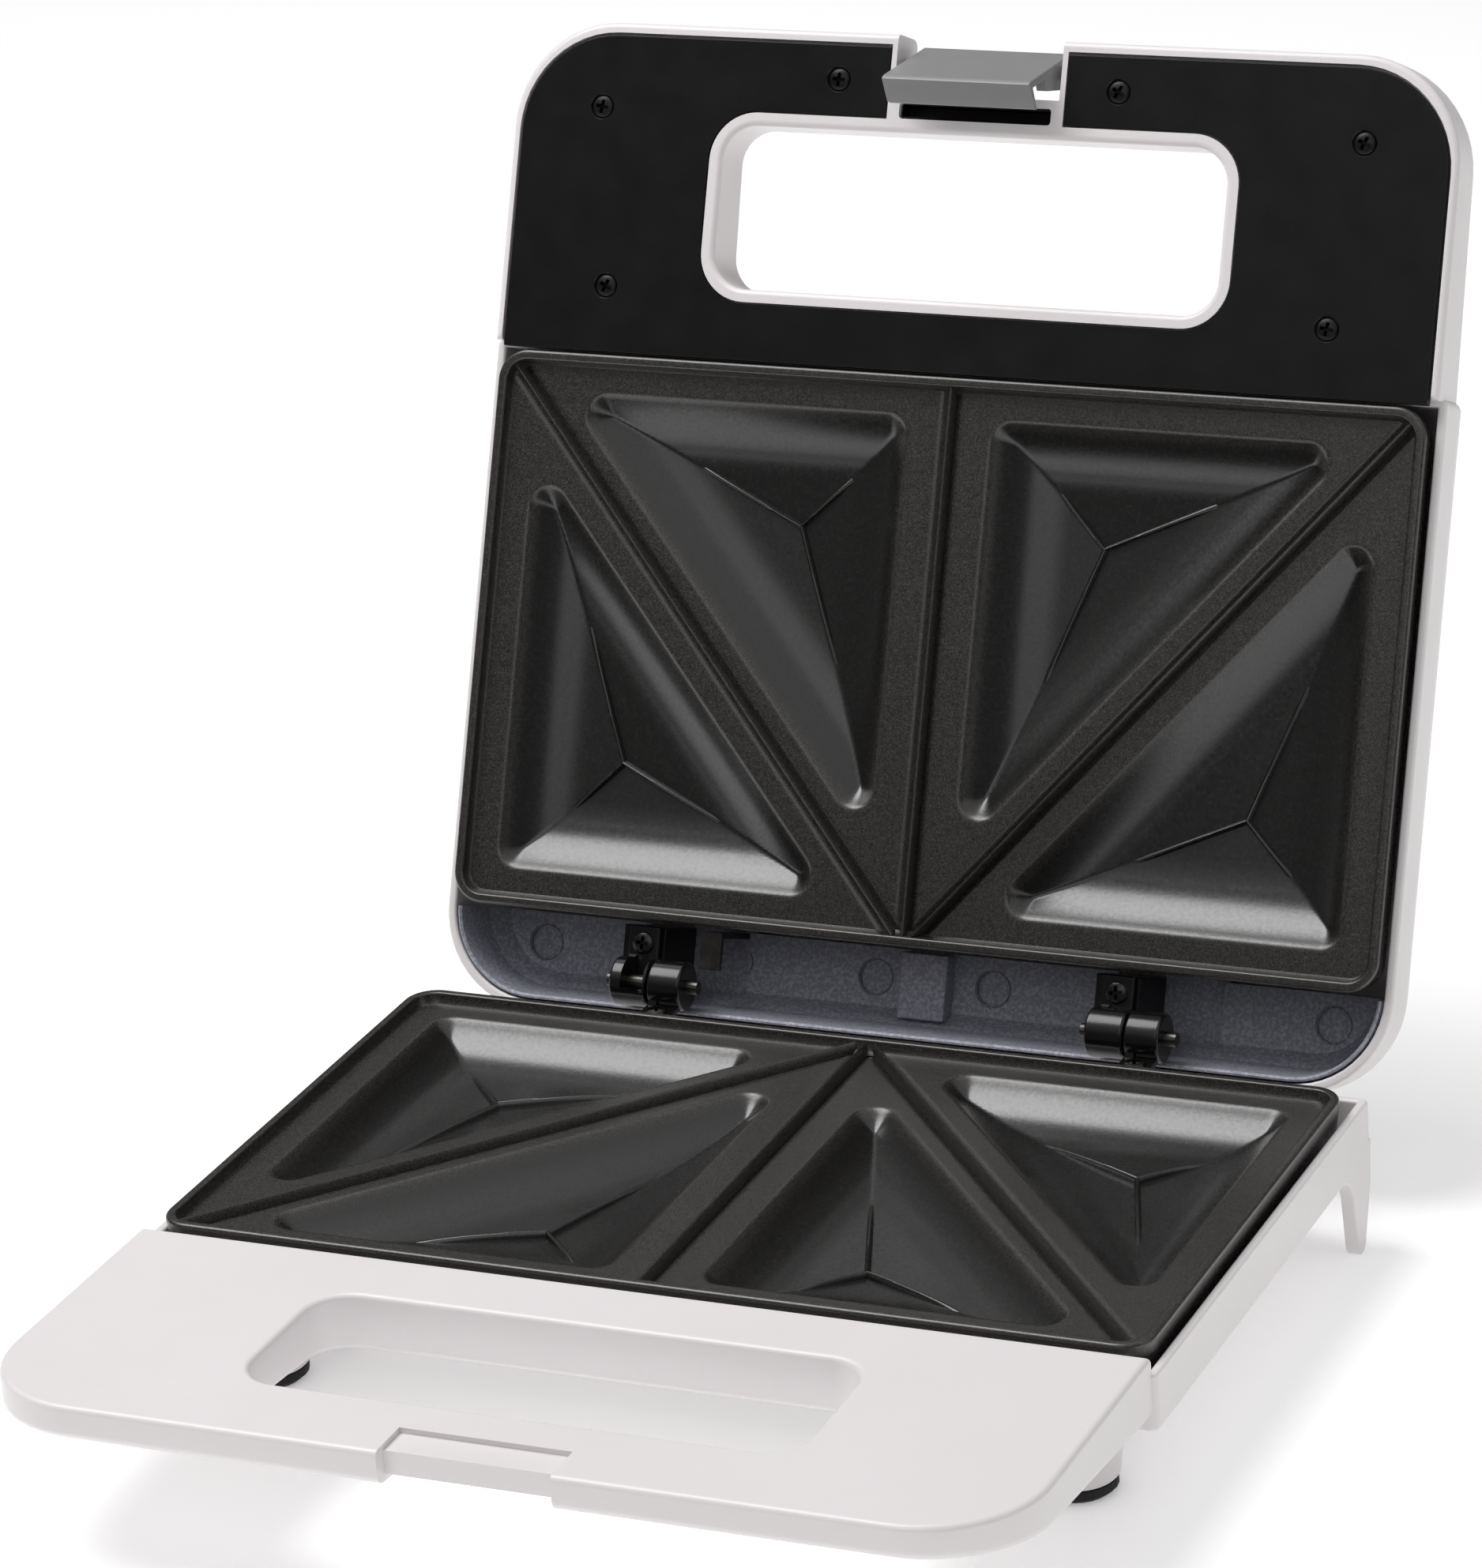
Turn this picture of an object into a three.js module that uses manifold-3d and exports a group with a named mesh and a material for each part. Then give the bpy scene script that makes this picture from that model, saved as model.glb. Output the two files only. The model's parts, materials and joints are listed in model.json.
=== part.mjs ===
// Sandwich toaster: two hinged white housings, each carrying a cast non-stick plate with four
// triangular pockets, an electric element behind each plate, and a swinging clip on the lid's handle.
// Millimetres. Everything is drawn closed: X runs along the hinge, -Y points to the handles, +Z up,
// with the hinge axis at y = 0 and the base's mating plane at z = 0. The lid is then turned open.
import * as THREE from 'three';
import { mergeVertices } from 'three/addons/utils/BufferGeometryUtils.js';
import Module from 'manifold-3d';

const wasm = await Module();
wasm.setup();

// ---------------------------------------------------------------- driving dimensions
const GAP = 0.3;                      // between neighbouring solids
const WALL = 2.1;                     // moulded wall thickness
const FAR = 60;                       // beyond everything, for cutting right through
const OPEN_ANGLE = THREE.MathUtils.degToRad(112.8);

const PLATE_WIDTH = 218;
const PLATE_LENGTH = 125;
const PLATE_REAR = -13.8;             // the plate's rear edge, measured from the hinge axis
const PLATE_FRONT = PLATE_REAR - PLATE_LENGTH;
const RIM_PROUD = 0.5;                // how far a plate's rim stands over its own mating plane
const MATING_GAP = 1.6;               // between the two handles when closed
const HINGE_HEIGHT = MATING_GAP / 2;

const BODY_HALF = 111.8;              // outside half width at the side walls
const BODY_FRONT = PLATE_FRONT - WALL - 0.5;
const WALL_TOP = 3.8;                 // side walls stand this far below their handle's face
const BODY_DEPTH = 31;                // from a mating plane to the flat of the same shell
const FLOOR = -36.5;                  // what the feet stand on

const HANDLE_HALF = 110.8;
const HANDLE_REAR = -140.6;
const HANDLE_CORNER = 24;

const CLIP_HALF = 17.3;
const HINGE_CENTRES = [-56.2, 56.2];
const KNUCKLE_RADIUS = 5.2;
const PIN_RADIUS = 1.6;

// A side says how depth behind its mating plane becomes height, where its shell ends, how deep its
// side walls stay straight, how its shell then draws in (steps of depth past the wall's foot and
// inset), and how thick its handle is at the front and where it meets the body.
const BASE = {
  z: (depth) => -depth, rear: -8.5, corner: 3, wallFoot: 15.2,
  belly: [[0, 0], [5.3, 7.5], [10.8, 13.4], [15.8, 18.4]],
  handleFront: -218, handleThin: 7.4, handleThick: 13.6,
  hole: { half: 59.9, front: -197.2, rear: -157.5, corner: 9 },
};
const LID = {
  z: (depth) => MATING_GAP + depth, rear: 9, corner: 22, wallFoot: 12.4,
  belly: [[0, 0], [7, 3.4], [16.4, 9.5], [18.6, 13]],
  handleFront: -213.2, handleThin: 11.2, handleThick: 15.4,
  hole: { half: 59.2, front: -191.6, rear: -155.3, corner: 8 },
};

// ---------------------------------------------------------------- materials
const plastic = (color, roughness) => new THREE.MeshStandardMaterial({ color, roughness, metalness: 0 });
const metal = (color, roughness) => new THREE.MeshStandardMaterial({ color, roughness, metalness: 1 });

const white = plastic(0xe9e5e5, 0.35);
const blackSatin = plastic(0x2b2a2b, 0.45);
const clipGrey = plastic(0x8f8f8f, 0.4);
const coverGrey = plastic(0x555b68, 0.55);
const nonStick = plastic(0x3c3a38, 0.4);
const hingeBlack = plastic(0x232220, 0.25);
const rubber = plastic(0x161616, 0.85);
const ceramic = plastic(0xe6e0d2, 0.8);
const wireSleeve = plastic(0x8a4a22, 0.6);
const redLens = plastic(0xb01414, 0.15);
const greenLens = plastic(0x1a8a2c, 0.15);
const steel = metal(0x9a9a98, 0.35);
const darkSteel = metal(0x4a4844, 0.4);
const aluminium = metal(0xc8c9ca, 0.4);

// ---------------------------------------------------------------- outlines
const arcPoint = (cx, cy, r, angle) => [cx + r * Math.cos(angle), cy + r * Math.sin(angle)];

// Rounded rectangle, counterclockwise; radii run front-left, front-right, rear-right, rear-left.
function roundedBox(x0, x1, y0, y1, radii, inset = 0, steps = 4) {
  const corners = [
    [x0, y0, 1, 1, Math.PI],
    [x1, y0, -1, 1, 1.5 * Math.PI],
    [x1, y1, -1, -1, 0],
    [x0, y1, 1, -1, 0.5 * Math.PI],
  ];
  return corners.flatMap(([x, y, inX, inY, start], corner) => {
    const outer = Array.isArray(radii) ? radii[corner] : radii;
    const r = Math.max(outer - inset, 0.4);
    const centre = [x + inX * (inset + r), y + inY * (inset + r)];
    return Array.from({ length: steps + 1 }, (_, i) =>
      arcPoint(centre[0], centre[1], r, start + (i / steps) * 0.5 * Math.PI));
  });
}

// Convex polygon drawn inward by a distance, then rounded at its corners.
function roundedPolygon(corners, inset, radius, steps = 4) {
  const count = corners.length;
  const direction = (a, b) => {
    const length = Math.hypot(b[0] - a[0], b[1] - a[1]);
    return [(b[0] - a[0]) / length, (b[1] - a[1]) / length];
  };
  return corners.flatMap((corner, i) => {
    const into = direction(corners[(i + count - 1) % count], corner);
    const out = direction(corner, corners[(i + 1) % count]);
    const bisector = [out[0] - into[0], out[1] - into[1]];
    const length = Math.hypot(...bisector);
    const halfSine = length / 2;
    const cosine = (into[0] * bisector[1] - into[1] * bisector[0]) / length;
    const reach = (inset + radius) / Math.abs(cosine);
    const centre = [corner[0] + (bisector[0] / length) * reach, corner[1] + (bisector[1] / length) * reach];
    const start = Math.atan2(into[1], into[0]) - 0.5 * Math.PI;
    const sweep = 2 * Math.asin(halfSine);
    return Array.from({ length: steps + 1 }, (_, k) =>
      arcPoint(centre[0], centre[1], radius, start + (k / steps) * sweep));
  });
}

// ---------------------------------------------------------------- solids
function fromTriangles(positions, triangles) {
  const geometry = new THREE.BufferGeometry();
  geometry.setAttribute('position', new THREE.Float32BufferAttribute(positions, 3));
  geometry.setIndex(triangles);
  return geometry;
}

function capTriangles(ring) {
  const plan = ring.map(([x, y]) => new THREE.Vector2(x, y));
  return THREE.ShapeUtils.triangulateShape(plan, []).map(([a, b, c]) => {
    const turn = plan[b].clone().sub(plan[a]).cross(plan[c].clone().sub(plan[a]));
    return turn > 0 ? [a, b, c] : [a, c, b];
  });
}

// Closed solid through a stack of rings with equal point counts, drawn in plan and stacked in Z.
function loft(rings) {
  const stack = rings[0][0][2] < rings.at(-1)[0][2] ? rings : [...rings].reverse();
  const count = stack[0].length;
  const triangles = [];
  for (let level = 0; level + 1 < stack.length; level += 1) {
    for (let i = 0; i < count; i += 1) {
      const next = (i + 1) % count;
      const low = level * count;
      const high = low + count;
      triangles.push(low + i, low + next, high + next, low + i, high + next, high + i);
    }
  }
  const top = (stack.length - 1) * count;
  for (const [a, b, c] of capTriangles(stack[0])) triangles.push(a, c, b);
  for (const [a, b, c] of capTriangles(stack.at(-1))) triangles.push(top + a, top + b, top + c);
  return fromTriangles(stack.flat(2), triangles);
}

const atHeight = (outline, z) => outline.map(([x, y]) => [x, y, typeof z === 'function' ? z(y) : z]);
const prism = (outline, z0, z1) => loft([atHeight(outline, z0), atHeight(outline, z1)]);
const block = (x0, x1, y0, y1, z0, z1) => prism([[x0, y0], [x1, y0], [x1, y1], [x0, y1]], z0, z1);

// Round bar along a curve.
function sweep(path, radius, steps) {
  const section = new THREE.Shape();
  section.absarc(0, 0, radius, 0, 2 * Math.PI);
  return new THREE.ExtrudeGeometry(section, { steps, curveSegments: 4, extrudePath: path });
}

// Outline given in the Y-Z plane and pushed along X.
function profileAlongX(points, x0, x1) {
  const shape = new THREE.Shape(points.map(([y, z]) => new THREE.Vector2(y, z)));
  const geometry = new THREE.ExtrudeGeometry(shape, { depth: Math.abs(x1 - x0), bevelEnabled: false });
  const toWorld = new THREE.Matrix4().set(0, 0, 1, Math.min(x0, x1), 1, 0, 0, 0, 0, 1, 0, 0, 0, 0, 0, 1);
  return geometry.applyMatrix4(toWorld);
}

function rod(radius, x0, x1, y, z, sides = 16) {
  const geometry = new THREE.CylinderGeometry(radius, radius, x1 - x0, sides);
  return geometry.rotateZ(0.5 * Math.PI).translate((x0 + x1) / 2, y, z);
}

function barrel(radius, y0, y1, x, z, sides = 16) {
  return new THREE.CylinderGeometry(radius, radius, y1 - y0, sides).translate(x, (y0 + y1) / 2, z);
}

function disc(radius, z0, z1, x, y, sides = 16) {
  const geometry = new THREE.CylinderGeometry(radius, radius, Math.abs(z1 - z0), sides);
  return geometry.rotateX(0.5 * Math.PI).translate(x, y, (z0 + z1) / 2);
}

// Turned piece: profile of [radius, height] pairs from axis to axis, standing at (x, y).
function turned(profile, x, y, sides = 20) {
  const points = profile.map(([r, h]) => new THREE.Vector2(r, h));
  return new THREE.LatheGeometry(points, sides).rotateX(0.5 * Math.PI).translate(x, y, 0);
}

function toSolid(geometry) {
  const bare = geometry.clone();
  bare.deleteAttribute('normal');
  bare.deleteAttribute('uv');
  const merged = mergeVertices(bare, 1e-4);
  return new wasm.Manifold(new wasm.Mesh({
    numProp: 3,
    vertProperties: new Float32Array(merged.attributes.position.array),
    triVerts: new Uint32Array(merged.index.array),
  }));
}

function toGeometry(solid) {
  const mesh = solid.getMesh();
  return fromTriangles(Array.from(mesh.vertProperties), Array.from(mesh.triVerts));
}

const add = (solid, ...parts) => parts.map(toSolid).reduce((all, part) => all.add(part), solid);
const cut = (solid, ...tools) => tools.map(toSolid).reduce((left, tool) => left.subtract(tool), solid);
const keep = (solid, region) => solid.intersect(toSolid(region));

// ---------------------------------------------------------------- screws
const SCREW_HEAD = 3.4;
const SCREW_SHANK = 1.5;
const SCREW_LENGTH = 6;
const HEAD_HEIGHT = 1.4;

// Pan-head screw with a cross recess. The head sits on `seat` and faces along `outward` (1 up, -1 down).
function screw([x, y], seat, outward) {
  const low = seat + outward * 0.05;
  const high = low + outward * HEAD_HEIGHT;
  const arms = [[2, 0.45], [0.45, 2]].map(([a, b]) => (
    block(x - a, x + a, y - b, y + b, high - 0.6, high + 0.6)));
  const head = toSolid(disc(SCREW_HEAD, low, high, x, y, 14));
  const shank = disc(SCREW_SHANK, low - outward * SCREW_LENGTH, low + outward * 0.2, x, y, 8);
  return cut(add(head, shank), ...arms);
}

const screwBore = ([x, y], seat, outward) => (
  disc(SCREW_SHANK + GAP, seat + outward, seat - outward * (SCREW_LENGTH + GAP), x, y, 8));

// ---------------------------------------------------------------- hinges
const LEAF = { thick: 1.6, front: -12.4, rear: -1, screwY: -8.6 };
const LID_KNUCKLE = { from: -11.2, to: -3.2 };
const BASE_KNUCKLE = { from: -2.6, to: 9 };
const LID_SEAT = LID.z(4.8);
const BASE_SEAT = BASE.z(WALL_TOP);

const leafScrew = (centre, span) => [centre + (span.from + span.to) / 2, LEAF.screwY];

// `outward` is the way from the seat to the leaf's free face.
function hingeLeaf(centre, span, seat, outward) {
  const near = seat + outward * GAP;
  const far = near + outward * LEAF.thick;
  const x0 = centre + span.from;
  const x1 = centre + span.to;
  const knuckle = toSolid(rod(KNUCKLE_RADIUS, x0, x1, 0, HINGE_HEIGHT, 20));
  const leaf = block(x0, x1, LEAF.front, LEAF.rear, near, far);
  const bore = rod(PIN_RADIUS + GAP, x0 - 1, x1 + 1, 0, HINGE_HEIGHT);
  return cut(add(knuckle, leaf), bore, screwBore(leafScrew(centre, span), far, outward));
}

function hingePin(centre) {
  return rod(PIN_RADIUS, centre + LID_KNUCKLE.from - 0.8, centre + BASE_KNUCKLE.to + 0.8, 0, HINGE_HEIGHT);
}

// ---------------------------------------------------------------- shared shapes of the two housings
const handleDepth = (side, y) => {
  const along = (HANDLE_REAR - y) / (HANDLE_REAR - BASE.handleFront);
  return side.handleThick + (side.handleThin - side.handleThick) * along;
};

const handleOutline = (side, inset) => roundedBox(
  -HANDLE_HALF, HANDLE_HALF, side.handleFront, HANDLE_REAR, [HANDLE_CORNER, HANDLE_CORNER, 0, 0], inset, 6);

const holeOutline = ({ hole }, grow) => roundedBox(
  -hole.half, hole.half, hole.front, hole.rear, hole.corner, -grow);

const bodyOutline = (side, inset) => roundedBox(
  -BODY_HALF, BODY_HALF, BODY_FRONT, side.rear, [6, 6, side.corner, side.corner], inset, 5);

// Side walls stand straight, then the shell draws in towards its flat.
const bodySteps = (side) => side.belly.map(([past, inset]) => [side.wallFoot + past, inset]);

function bodyShell(side) {
  const ring = (depth, inset) => atHeight(bodyOutline(side, inset), side.z(depth));
  const outside = [ring(WALL_TOP, 0), ...bodySteps(side).map(([depth, inset]) => ring(depth, inset))];
  const inside = [
    ring(WALL_TOP - 1, WALL), ...bodySteps(side).map(([depth, inset]) => ring(depth - WALL, inset + WALL)),
  ];
  return cut(toSolid(loft(outside)), loft(inside));
}

function handleBlock(side) {
  const ring = (inset, z) => atHeight(handleOutline(side, inset), z);
  const under = (less) => (y) => side.z(handleDepth(side, y) - less);
  return toSolid(loft([
    ring(1, side.z(0)), ring(0, side.z(1)), ring(0, under(1.4)), ring(1.6, under(0))]));
}

// ---------------------------------------------------------------- lower housing
const RECESS = { half: 18.4, back: -207.4, shelfTop: 1.2, shelfFront: -214.8, shelfUnder: 6.2 };
const INLET = { x: 84, depth: 12, radius: 6, bore: 3.4 };
const FOOT = { x: 90, y: -130.5, wide: 10.8, narrow: 8.8, top: BASE.z(16.2), foot: FLOOR + 3.2 };
const COVER_SCREWS = [[-83, -113], [83, -113], [83, -37], [-83, -37]];
const COVER_THICK = 1.5;

// Side prong that steadies the toaster at the back.
function rearProng(x0, x1) {
  const top = BASE.z(14);
  const outline = [
    [-21.4, top], [-20, FLOOR + 3], [-17.4, FLOOR], [-13.6, FLOOR], [-10.6, FLOOR + 4], [-10, top]];
  return profileAlongX(outline, x0, x1);
}

function hingePad(centre) {
  return block(centre - 12, centre + 12, BASE.rear - 4.5, BASE.rear + 5, BASE.z(14), BASE_SEAT);
}

function frontFoot(x) {
  const { wide, narrow, top, foot } = FOOT;
  const profile = [[0, foot], [narrow, foot], [wide, top - 4], [wide, top], [0, top]];
  return turned(profile, x, FOOT.y, 24);
}

function coverLug([x, y]) {
  const edge = Math.sign(x) * 94;
  return block(Math.min(x - 6, edge), Math.max(x + 6, edge), y - 6, y + 6, BASE.z(29.2), BASE.z(25.6));
}

function baseHandle() {
  const hollow = cut(
    toSolid(loft([
      atHeight(handleOutline(BASE, WALL), BASE.z(WALL)),
      atHeight(handleOutline(BASE, WALL), (y) => BASE.z(handleDepth(BASE, y) + 1))])),
    prism(holeOutline(BASE, WALL), BASE.z(FAR), FAR),
    block(-RECESS.half - WALL, RECESS.half + WALL, BASE.handleFront, RECESS.back + WALL, BASE.z(FAR), FAR));
  return handleBlock(BASE).subtract(hollow);
}

const bottomOpening = (inset) => roundedBox(-90, 90, BODY_FRONT + 21, BASE.rear - 21, 8, inset);

function lowerHousing() {
  const { half, back, shelfTop, shelfFront, shelfUnder } = RECESS;
  const ahead = BASE.handleFront - 1;
  const shell = add(
    baseHandle().add(bodyShell(BASE)),
    rearProng(BODY_HALF - 3, BODY_HALF),
    rearProng(-BODY_HALF, 3 - BODY_HALF),
    ...HINGE_CENTRES.map(hingePad),
    frontFoot(-FOOT.x),
    frontFoot(FOOT.x));
  const opened = cut(
    shell,
    prism(holeOutline(BASE, 0), BASE.z(FAR), FAR),
    block(-half, half, ahead, back, BASE.z(shelfTop), FAR),
    block(-half, half, ahead, shelfFront, BASE.z(FAR), FAR),
    block(-half, half, ahead, back + 0.6, BASE.z(FAR), BASE.z(shelfUnder)),
    prism(bottomOpening(0), BASE.z(BODY_DEPTH + 1), BASE.z(BODY_DEPTH - 4)),
    barrel(INLET.radius + GAP, BASE.rear - 14, BASE.rear + 2, INLET.x, BASE.z(INLET.depth)));
  return cut(
    add(opened, ...COVER_SCREWS.map(coverLug)),
    ...COVER_SCREWS.map((at) => screwBore(at, BASE.z(BODY_DEPTH), -1)),
    ...HINGE_CENTRES.map((centre) => (
      screwBore(leafScrew(centre, BASE_KNUCKLE), BASE_SEAT + LEAF.thick, 1))));
}

function bottomCover() {
  const slab = toSolid(prism(bottomOpening(GAP), BASE.z(BODY_DEPTH), BASE.z(BODY_DEPTH - COVER_THICK)));
  return cut(slab, ...COVER_SCREWS.map((at) => screwBore(at, BASE.z(BODY_DEPTH), -1)));
}

function handleUnderCover() {
  const inset = WALL + GAP;
  const slab = loft([
    atHeight(handleOutline(BASE, inset), (y) => BASE.z(handleDepth(BASE, y))),
    atHeight(handleOutline(BASE, inset), (y) => BASE.z(handleDepth(BASE, y) - COVER_THICK)),
  ]);
  const notch = RECESS.half + inset;
  return cut(
    toSolid(slab),
    prism(holeOutline(BASE, inset), BASE.z(FAR), FAR),
    block(-notch, notch, BASE.handleFront, RECESS.back + inset, BASE.z(FAR), FAR));
}

function footPad(x) {
  const top = FOOT.foot - GAP;
  return turned([[0, FLOOR], [7, FLOOR], [8.4, FLOOR + 1.2], [8.4, top], [0, top]], x, FOOT.y, 24);
}

// ---------------------------------------------------------------- upper housing
// The clip's bay goes right through the lid's handle and out of its front edge.
const BAY = { half: 19.4, rear: -200.2, wall: 1.2 };
const SLOT = { half: 17.8, front: -198.4, rear: -194.7, deep: 6 };
const RING_EDGE = 2.9;                // the raised ring round the lid's finger hole
const CLIP_PIVOT = { y: -206.9, z: 8.3 };
const PANEL = {
  half: 108.6, front: -210.4, rear: PLATE_FRONT - 0.6, corner: 22, thick: 1.8, screwSeat: 0.9,
  edge: 1.6,                          // least white edge left round it
};
const PANEL_SCREWS = [
  [-89.4, -194.2], [-32.8, -202.7], [32.8, -202.7], [89.4, -194.2], [-84.7, -154.2], [84.7, -154.2]];
const LENS = { radius: 4, flange: 5.4, y: -118, apart: 12 };
const BOSS = { from: -12, to: -2.5, front: PLATE_REAR + 1, rear: -0.5 };

const panelOutline = (inset) => roundedBox(
  -PANEL.half, PANEL.half, PANEL.front, PANEL.rear, [PANEL.corner, PANEL.corner, 0, 0], inset, 6);

function lidHandle() {
  const bayBlock = block(
    -BAY.half - BAY.wall, BAY.half + BAY.wall, LID.handleFront - 1, LID.hole.front - 1, LID.z(0), FAR);
  const room = loft([
    atHeight(handleOutline(LID, PANEL.edge), LID.z(-1)),
    atHeight(handleOutline(LID, PANEL.edge), (y) => LID.z(handleDepth(LID, y) - WALL)),
  ]);
  const hollow = cut(
    keep(toSolid(room), prism(panelOutline(-GAP), LID.z(-2), FAR)),
    prism(holeOutline(LID, RING_EDGE), LID.z(0), FAR),
    bayBlock);
  const shell = handleBlock(LID).subtract(hollow);
  const panelLedge = block(
    -PANEL.half - GAP, PANEL.half + GAP, HANDLE_REAR - WALL - 1, 0, LID.z(-1), LID.z(PANEL.thick + GAP));
  const bosses = PANEL_SCREWS.map(([x, y]) => (
    disc(3.6, LID.z(PANEL.thick + GAP), LID.z(handleDepth(LID, y) - 1), x, y, 10)));
  return add(cut(shell, panelLedge), ...bosses);
}

function upperHousing() {
  const hingeBosses = HINGE_CENTRES.map((centre) => (
    block(centre + BOSS.from, centre + BOSS.to, BOSS.front, BOSS.rear, LID_SEAT, LID.z(BODY_DEPTH - 1))));
  return cut(
    add(lidHandle().add(bodyShell(LID)), ...hingeBosses),
    prism(holeOutline(LID, 0), LID.z(-1), FAR),
    block(-BAY.half, BAY.half, LID.handleFront - 1, BAY.rear, LID.z(-1), FAR),
    block(-SLOT.half, SLOT.half, SLOT.front, SLOT.rear, LID.z(-1), LID.z(SLOT.deep)),
    rod(PIN_RADIUS + GAP, -BAY.half - 0.8, BAY.half + 0.8, CLIP_PIVOT.y, CLIP_PIVOT.z),
    ...PANEL_SCREWS.map((at) => screwBore(at, LID.z(PANEL.screwSeat), -1)),
    ...HINGE_CENTRES.map((centre) => screwBore(leafScrew(centre, LID_KNUCKLE), LID_SEAT - LEAF.thick, -1)),
    ...[-1, 1].map((way) => (
      disc(LENS.radius + GAP, LID.z(BODY_DEPTH - 6), LID.z(BODY_DEPTH + 1), way * LENS.apart, LENS.y))));
}

function handlePanel() {
  const notch = BAY.half + BAY.wall + GAP;
  return cut(
    toSolid(prism(panelOutline(0), LID.z(0), LID.z(PANEL.thick))),
    prism(holeOutline(LID, RING_EDGE + GAP), LID.z(-1), FAR),
    block(-notch, notch, PANEL.front - 5, LID.hole.front, LID.z(-1), FAR),
    ...PANEL_SCREWS.map(([x, y]) => disc(SCREW_HEAD + 0.5, LID.z(-1), LID.z(PANEL.screwSeat), x, y)),
    ...PANEL_SCREWS.map((at) => screwBore(at, LID.z(PANEL.screwSeat), -1)));
}

function lampLens(x) {
  const { radius, flange } = LENS;
  const inner = LID.z(BODY_DEPTH - WALL - GAP);
  const profile = [
    [0, inner - 1.2], [flange, inner - 1.2], [flange, inner], [radius, inner],
    [radius, LID.z(BODY_DEPTH + 0.4)], [radius - 1, LID.z(BODY_DEPTH + 1)], [0, LID.z(BODY_DEPTH + 1)]];
  return turned(profile, x, LENS.y, 16);
}

// ---------------------------------------------------------------- plates
const LAND = 2;                       // lands lie this far below the mating plane
const POCKET_FLOOR = 9;
const CAST = 2.2;                     // casting thickness under a pocket
const RIM_EDGE = 2.2;

const plateOutline = (inset) => roundedBox(
  -PLATE_WIDTH / 2, PLATE_WIDTH / 2, PLATE_FRONT, PLATE_REAR, 7, inset);

// Each half of the plate holds a front triangle and a rear triangle with a diagonal land between.
const FRONT_TRIANGLE = [[10, -130], [93, -130], [10, -35]];
const REAR_TRIANGLE = [[99.5, -22.5], [17.5, -22.5], [99.5, -116.5]];
const POCKET_CORNER = 6;

const mirrored = (corners) => corners.map(([x, y]) => [-x, y]).reverse();
const POCKETS = [FRONT_TRIANGLE, REAR_TRIANGLE, mirrored(FRONT_TRIANGLE), mirrored(REAR_TRIANGLE)];
const POCKET_STEPS = [[LAND - 1, 0], [LAND + 1.8, 1.6], [POCKET_FLOOR - 1.6, 6], [POCKET_FLOOR, 10.5]];

const pocket = (side, corners, grow) => loft(POCKET_STEPS.map(([depth, inset]) => (
  atHeight(roundedPolygon(corners, inset - grow, POCKET_CORNER, 3), side.z(depth + grow)))));

function thickLine(a, b, width) {
  const length = Math.hypot(b[0] - a[0], b[1] - a[1]);
  const side = [(-(b[1] - a[1]) / length) * (width / 2), ((b[0] - a[0]) / length) * (width / 2)];
  return [
    [a[0] - side[0], a[1] - side[1]], [b[0] - side[0], b[1] - side[1]],
    [b[0] + side[0], b[1] + side[1]], [a[0] + side[0], a[1] + side[1]],
  ];
}

function plate(side) {
  const skirt = loft([
    atHeight(plateOutline(0.8), side.z(-RIM_PROUD)),
    atHeight(plateOutline(0), side.z(0.3)),
    atHeight(plateOutline(0.9), side.z(8)),
  ]);
  const land = prism(plateOutline(RIM_EDGE), side.z(-RIM_PROUD - 1), side.z(LAND));
  const under = prism(plateOutline(RIM_EDGE + 0.8), side.z(LAND + CAST), side.z(12));
  const ribs = [
    thickLine([0, PLATE_FRONT + 1], [0, PLATE_REAR - 1], 1.6),
    thickLine([105, -135.8], [2, -16.2], 1.6),
    thickLine([-2, -16.2], [-105, -135.8], 1.6),
  ].map((outline) => prism(outline, side.z(LAND + 0.5), side.z(0.3)));
  const casting = add(cut(toSolid(skirt), under), ...POCKETS.map((corners) => pocket(side, corners, CAST)));
  const opened = cut(casting, land, ...POCKETS.map((corners) => pocket(side, corners, 0)));
  return add(opened, ...ribs);
}

// ---------------------------------------------------------------- heating
const HEATER = { depth: 15.4, radius: 3.1, halfX: 62, halfY: 30, bend: 22, ends: 10 };
const MIDDLE = (PLATE_FRONT + PLATE_REAR) / 2;

// Tube bent to a rounded loop, open at the back between its two terminals.
function heater(side) {
  const { halfX, halfY, bend, ends, radius, depth } = HEATER;
  const at = (x, y) => new THREE.Vector3(x, MIDDLE + y, side.z(depth));
  const path = new THREE.CurvePath();
  const corners = [[-halfX, halfY], [-halfX, -halfY], [halfX, -halfY], [halfX, halfY]];
  let from = at(-ends, halfY);
  corners.forEach(([x, y], i) => {
    const along = i % 2 === 0;
    const before = along ? at(x - Math.sign(x) * bend, y) : at(x, y - Math.sign(y) * bend);
    const after = along ? at(x, y - Math.sign(y) * bend) : at(x - Math.sign(x) * bend, y);
    path.add(new THREE.LineCurve3(from, before));
    path.add(new THREE.QuadraticBezierCurve3(before, at(x, y), after));
    from = after;
  });
  path.add(new THREE.LineCurve3(from, at(ends, halfY)));
  return sweep(path, radius, 40);
}

// Shallow aluminium dish that keeps the heat off the housing.
function heatShield(side) {
  const dish = (inset, depth) => atHeight(
    roundedBox(-88, 88, PLATE_FRONT + 16, PLATE_REAR - 16, 10, inset, 3), side.z(depth));
  return cut(toSolid(loft([dish(0, 20), dish(7, 25)])), loft([dish(0.8, 19.6), dish(7.8, 24.2)]));
}

// ---------------------------------------------------------------- supply
const TERMINAL = { x0: 52, x1: 70, y0: -28.5, y1: -20.5, top: 13, bottom: 20 };

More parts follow.
